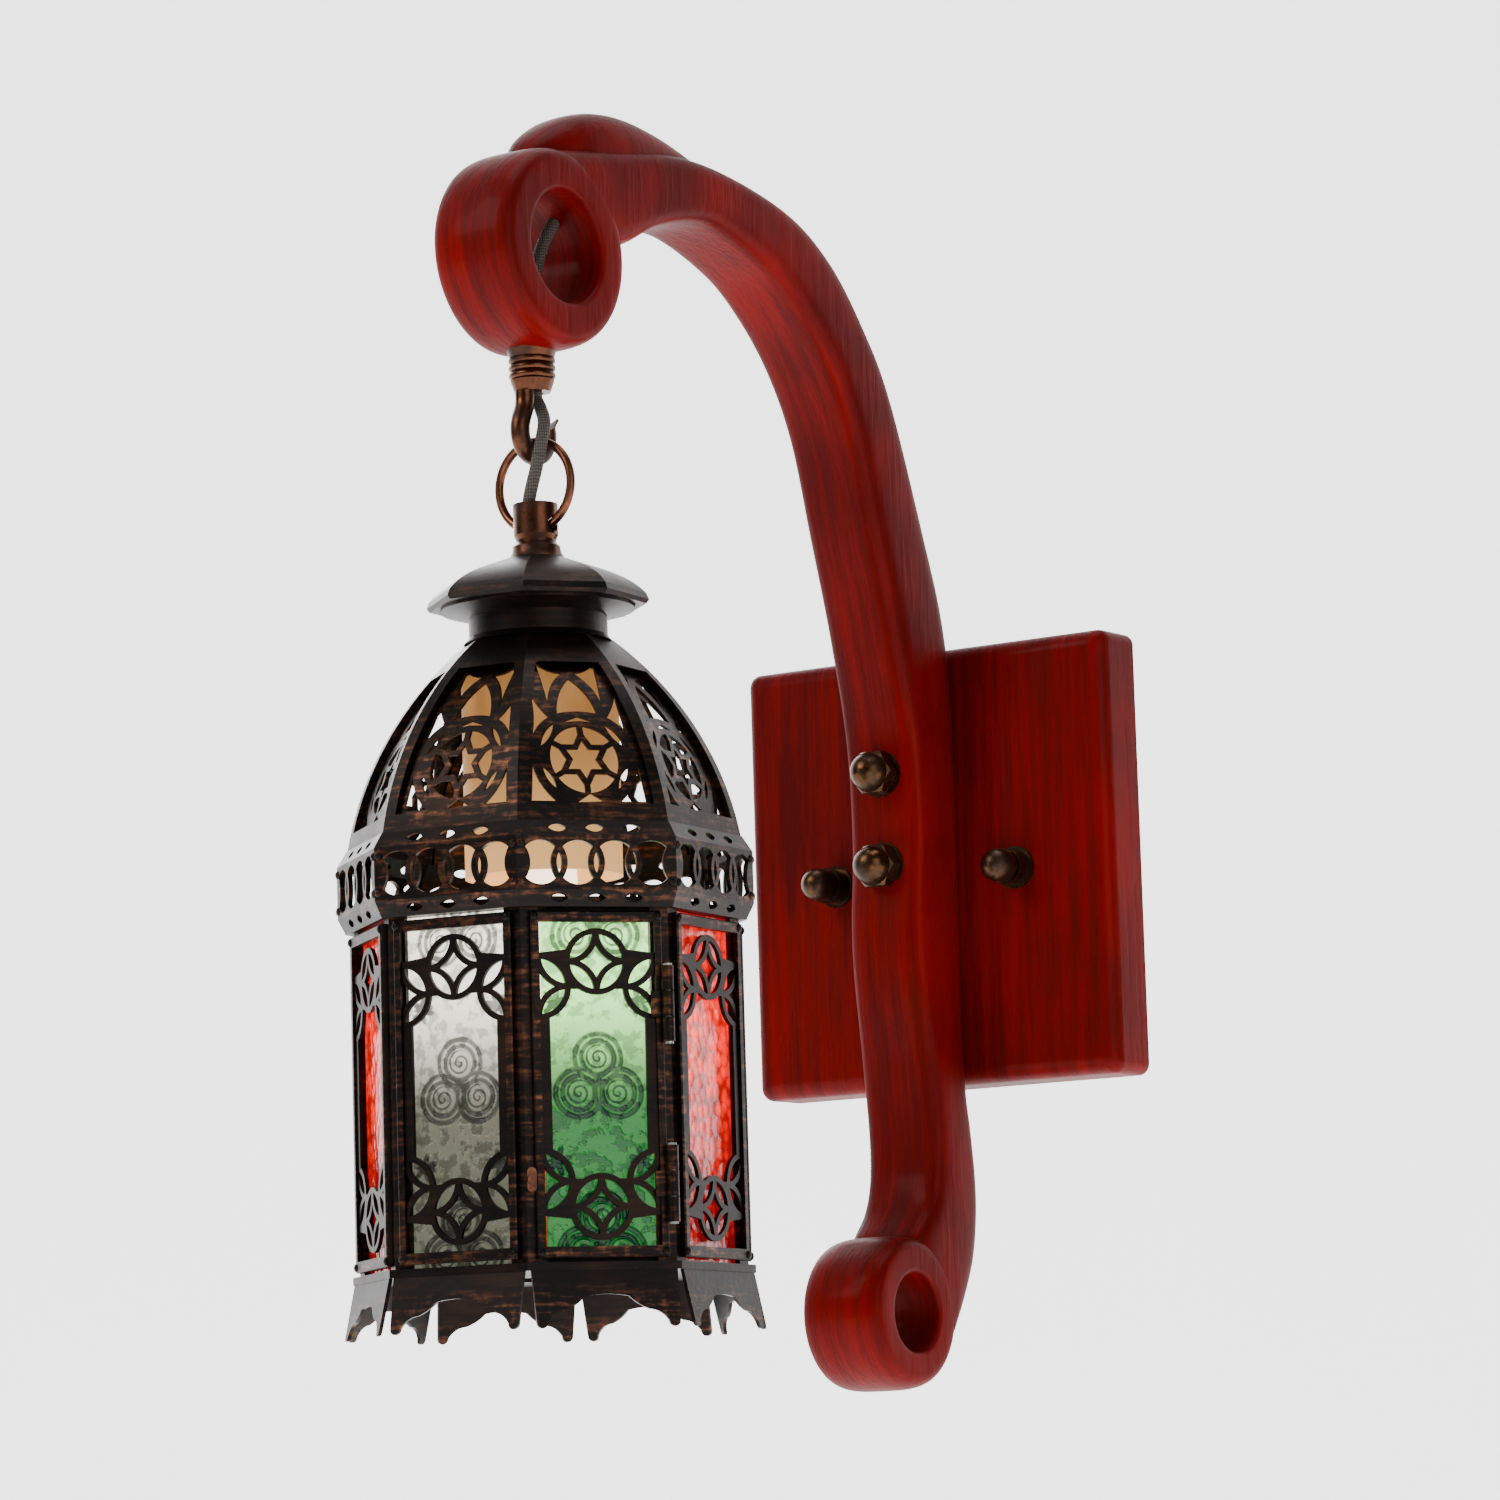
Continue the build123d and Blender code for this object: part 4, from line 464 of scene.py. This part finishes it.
crestShape = {
    "ridge": [
        (-300, 251), (-291, 263), (-276, 273), (-258, 279),
        (-238, 280.5), (-214, 277.5), (-190, 271.5), (-166, 264)],
    "halfWidth": [5.0, 11.5, 15.0, 16.0, 16.0, 15.0, 13.0, 8.0],
    "depth": [6.0, 11.0, 15.0, 17.0, 17.0, 14.0, 10.0, 5.0],
}


# The crest: superellipses hung below its ridge line.
def armCrest():
    ridge = toRow(smoothLine(crestShape["ridge"], 10))
    width = smoothLine(np.array([crestShape["halfWidth"]]).T, 10)[:, 0] / 1000
    depth = smoothLine(np.array([crestShape["depth"]]).T, 10)[:, 0] / 1000
    along = np.gradient(ridge, axis=0)
    along /= np.linalg.norm(along, axis=1)[:, None]
    sideways = np.tile([1.0, 0.0, 0.0], (len(ridge), 1))
    normals = np.cross(along, sideways)
    normals *= np.sign(normals[:, 2:3])
    sections = superellipse(width, depth, 2.6, 48)
    return swept(ridge - normals * depth[:, None], sideways, normals, sections, False)


# Several surfaces as one list of points and one of faces.
def joined(parts):
    points, faces, count = [], [], 0
    for p, f in parts:
        points.append(p)
        faces += [[k + count for k in face] for face in f]
        count += len(p)
    return np.vstack(points).tolist(), faces


points, faces = joined([armBar(), armEye(*armShape["upperEye"]), armEye(*armShape["tailEye"]), armCrest()])
addMesh("arm_wood", points, faces, wood, "wall_mount", ["arm"])
print("arm made")


# Hanging flex, route in millimetres: an upper length that bends into the ring, a lower one into the lantern.
flexShape = {
    "route": [
        (0.0, -288.0, 163.0), (0.3, -288.0, 160.5), (3.2, -289.2, 156.2), (7.0, -292.4, 150.0),
        (8.1, -296.2, 141.0), (5.6, -296.4, 131.5), (1.6, -295.0, 123.0), (0.0, -294.5, 117.0),
        (0.0, -294.5, 112.0)],
    "radius": 0.0025, "split": 0.137,
}


# A circle carried along a path, square to it.
def tube(path, radius, count):
    along = np.gradient(path, axis=0)
    along /= np.linalg.norm(along, axis=1)[:, None]
    sideways = np.cross(along, [0.0, 1.0, 0.2])
    sideways /= np.linalg.norm(sideways, axis=1)[:, None]
    sections = superellipse(radius, np.full(len(path), radius), 2.0, count)
    return swept(path, sideways, np.cross(along, sideways), sections, False)


flexPath = smoothLine(flexShape["route"], 10) / 1000
cut = int(np.argmin(np.abs(flexPath[:, 2] - flexShape["split"])))
upperPoints, upperFaces = tube(flexPath[:cut + 1], flexShape["radius"], 24)
lowerPoints, lowerFaces = tube(flexPath[cut:], flexShape["radius"], 24)
upperFlex = addMesh("flex_upper", upperPoints.tolist(), upperFaces, sheathLook, None)
lowerFlex = addMesh("flex_lower", lowerPoints.tolist(), lowerFaces, sheathLook, None)
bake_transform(upperFlex)
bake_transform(lowerFlex)
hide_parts("flex_hanging")
print("flex made")


# Rivets on the cornice straps and on the grille and door corners.
rivetShape = {
    "radius": 0.0016, "height": 0.001, "sink": 0.0004, "rings": 6, "count": 16,
    "corniceOut": 0.0736, "corniceAside": 0.0288, "corniceUp": (-0.021, -0.035),
    "grilleOut": 0.0705, "grilleAside": 0.0236, "grilleUp": (-0.0475, -0.1705),
}


# A dome: radius falls as the cosine and height rises as the sine of the same angle.
def rivet(place, outward, side):
    up = np.array([0.0, 0.0, 1.0])
    a = np.linspace(0, np.pi / 2, rivetShape["rings"], endpoint=False)
    t = np.linspace(0, 2 * np.pi, rivetShape["count"], endpoint=False)
    spread = rivetShape["radius"] * np.cos(a)[:, None, None]
    rise = rivetShape["height"] * np.sin(a)[:, None, None]
    around = np.cos(t)[None, :, None] * side + np.sin(t)[None, :, None] * up
    rings = place + spread * around + rise * outward
    tip, back = place + outward * rivetShape["height"], place - outward * rivetShape["sink"]
    rows, columns = rings.shape[:2]
    faces = gridFaces(rows, columns).tolist()
    faces += fanFaces((rows - 1) * columns, columns, rows * columns, False)
    faces += fanFaces(0, columns, rows * columns + 1, True)
    return np.vstack([rings.reshape(-1, 3), tip, back]), faces


# Rivets left and right at each height, on each of the given faces of the octagon.
def rivetsAt(name, apothem, aside, heights, faceList, body):
    parts = []
    for k in faceList:
        angle = faceTurn + k * np.pi / 4
        outward = np.array([np.sin(angle), -np.cos(angle), 0.0])
        side = np.array([np.cos(angle), np.sin(angle), 0.0])
        for along in (-aside, aside):
            for up in heights:
                place = np.array([0, axisY, up]) + outward * apothem + side * along
                parts.append(rivet(place, outward, side))
    points, faces = joined(parts)
    addMesh(name, points, faces, corniceMetal, body)


cornicePlace = (rivetShape["corniceOut"], rivetShape["corniceAside"], rivetShape["corniceUp"])
grillePlace = (rivetShape["grilleOut"], rivetShape["grilleAside"], rivetShape["grilleUp"])
rivetsAt("cornice_rivets", *cornicePlace, range(8), "lantern")
rivetsAt("grille_rivets", *grillePlace, [0, 2, 3, 4, 5, 6, 7], "lantern")
rivetsAt("door_rivets", *grillePlace, [1], "door")
print("rivets made")


studio = {
    "floor": -1.25, "back": 3.2, "bend": 0.6, "reach": 9.0, "top": 7.0, "turn": np.radians(35),
    "white": colour(0.9, 0.9, 0.9), "offWhite": colour(0.88, 0.88, 0.88), "paperGlow": 2.0, "worldGlow": 0.12,
    "aim": (0.0, -0.2, 0.03),
}


# Paper sweep: a flat floor, a quarter circle and an upright wall, behind the object from the camera.
def backdrop():
    p = Paint("paper")
    grain = p.noise(3.0, 2.0)
    p.set(Base_Color=p.mix(grain, studio["white"], studio["offWhite"]), Roughness=0.85)
    p.set(Emission_Color=p.mix(grain, colour(1.0, 1.0, 1.0), colour(0.97, 0.97, 0.97)))
    p.set(Emission_Strength=studio["paperGlow"])
    bend = np.linspace(0, np.pi / 2, 12)
    radius, azimuth = studio["bend"], studio["turn"]
    floor, back = studio["floor"], studio["back"]
    across = np.concatenate([[-studio["reach"]], back + radius * np.sin(bend), [back + radius]])
    height = np.concatenate([[floor], floor + radius - radius * np.cos(bend), [studio["top"]]])
    away = np.array([-np.sin(azimuth), np.cos(azimuth), 0.0])
    side = np.array([np.cos(azimuth), np.sin(azimuth), 0.0])
    rows = away * across[:, None] + np.array([0, 0, 1.0]) * height[:, None]
    points = np.concatenate([rows - side * studio["reach"], rows + side * studio["reach"]])
    n = len(rows)
    faces = [[k, n + k, n + k + 1, k + 1] for k in range(n - 1)]
    mesh = bpy.data.meshes.new("paper")
    mesh.from_pydata(points.tolist(), [], faces)
    mesh.shade_smooth()
    sheet = bpy.data.objects.new("paper", mesh)
    bpy.context.scene.collection.objects.link(sheet)
    mesh.materials.append(p.material)


# A square lamp that faces the object.
def areaLight(name, place, size, power, tint):
    lamp = bpy.data.lights.new(name, "AREA")
    lamp.size, lamp.energy, lamp.color = size, power, tint
    holder = bpy.data.objects.new(name, lamp)
    holder.location = place
    holder.rotation_euler = (Vector(place) - Vector(studio["aim"])).to_track_quat("Z", "Y").to_euler()
    bpy.context.scene.collection.objects.link(holder)


backdrop()
areaLight("key", (-0.9, -2.2, 1.5), 1.4, 44, (1.0, 0.98, 0.95))
areaLight("fill", (2.2, -1.2, 0.6), 1.6, 18, (0.95, 0.97, 1.0))
areaLight("top", (0.2, -0.2, 2.2), 1.5, 30, (1.0, 1.0, 1.0))
areaLight("back", (-1.3, 0.9, 0.8), 0.9, 16, (1.0, 1.0, 1.0))
world = bpy.data.worlds.new("studio")
world.use_nodes = True
background = world.node_tree.nodes["Background"]
background.inputs[0].default_value = colour(1.0, 1.0, 1.0)
background.inputs[1].default_value = studio["worldGlow"]
bpy.context.scene.world = world


cameraSpot = {
    "place": (1.25559, -1.94452, -0.26992),
    "right": (0.816423, 0.576706, -0.029378),
    "up": (0.104092, -0.096938, 0.989832),
    "back": (0.567994, -0.81118, -0.139173),
    "lens": 132.0,
}
camera = bpy.data.objects.new("camera", bpy.data.cameras.new("camera"))
bpy.context.scene.collection.objects.link(camera)
camera.data.lens, camera.data.sensor_width = cameraSpot["lens"], 36.0
axesMatrix = Matrix([cameraSpot["right"], cameraSpot["up"], cameraSpot["back"]]).transposed()
camera.matrix_world = Matrix.Translation(cameraSpot["place"]) @ axesMatrix.to_4x4()
bpy.context.scene.camera = camera
print("studio ready")
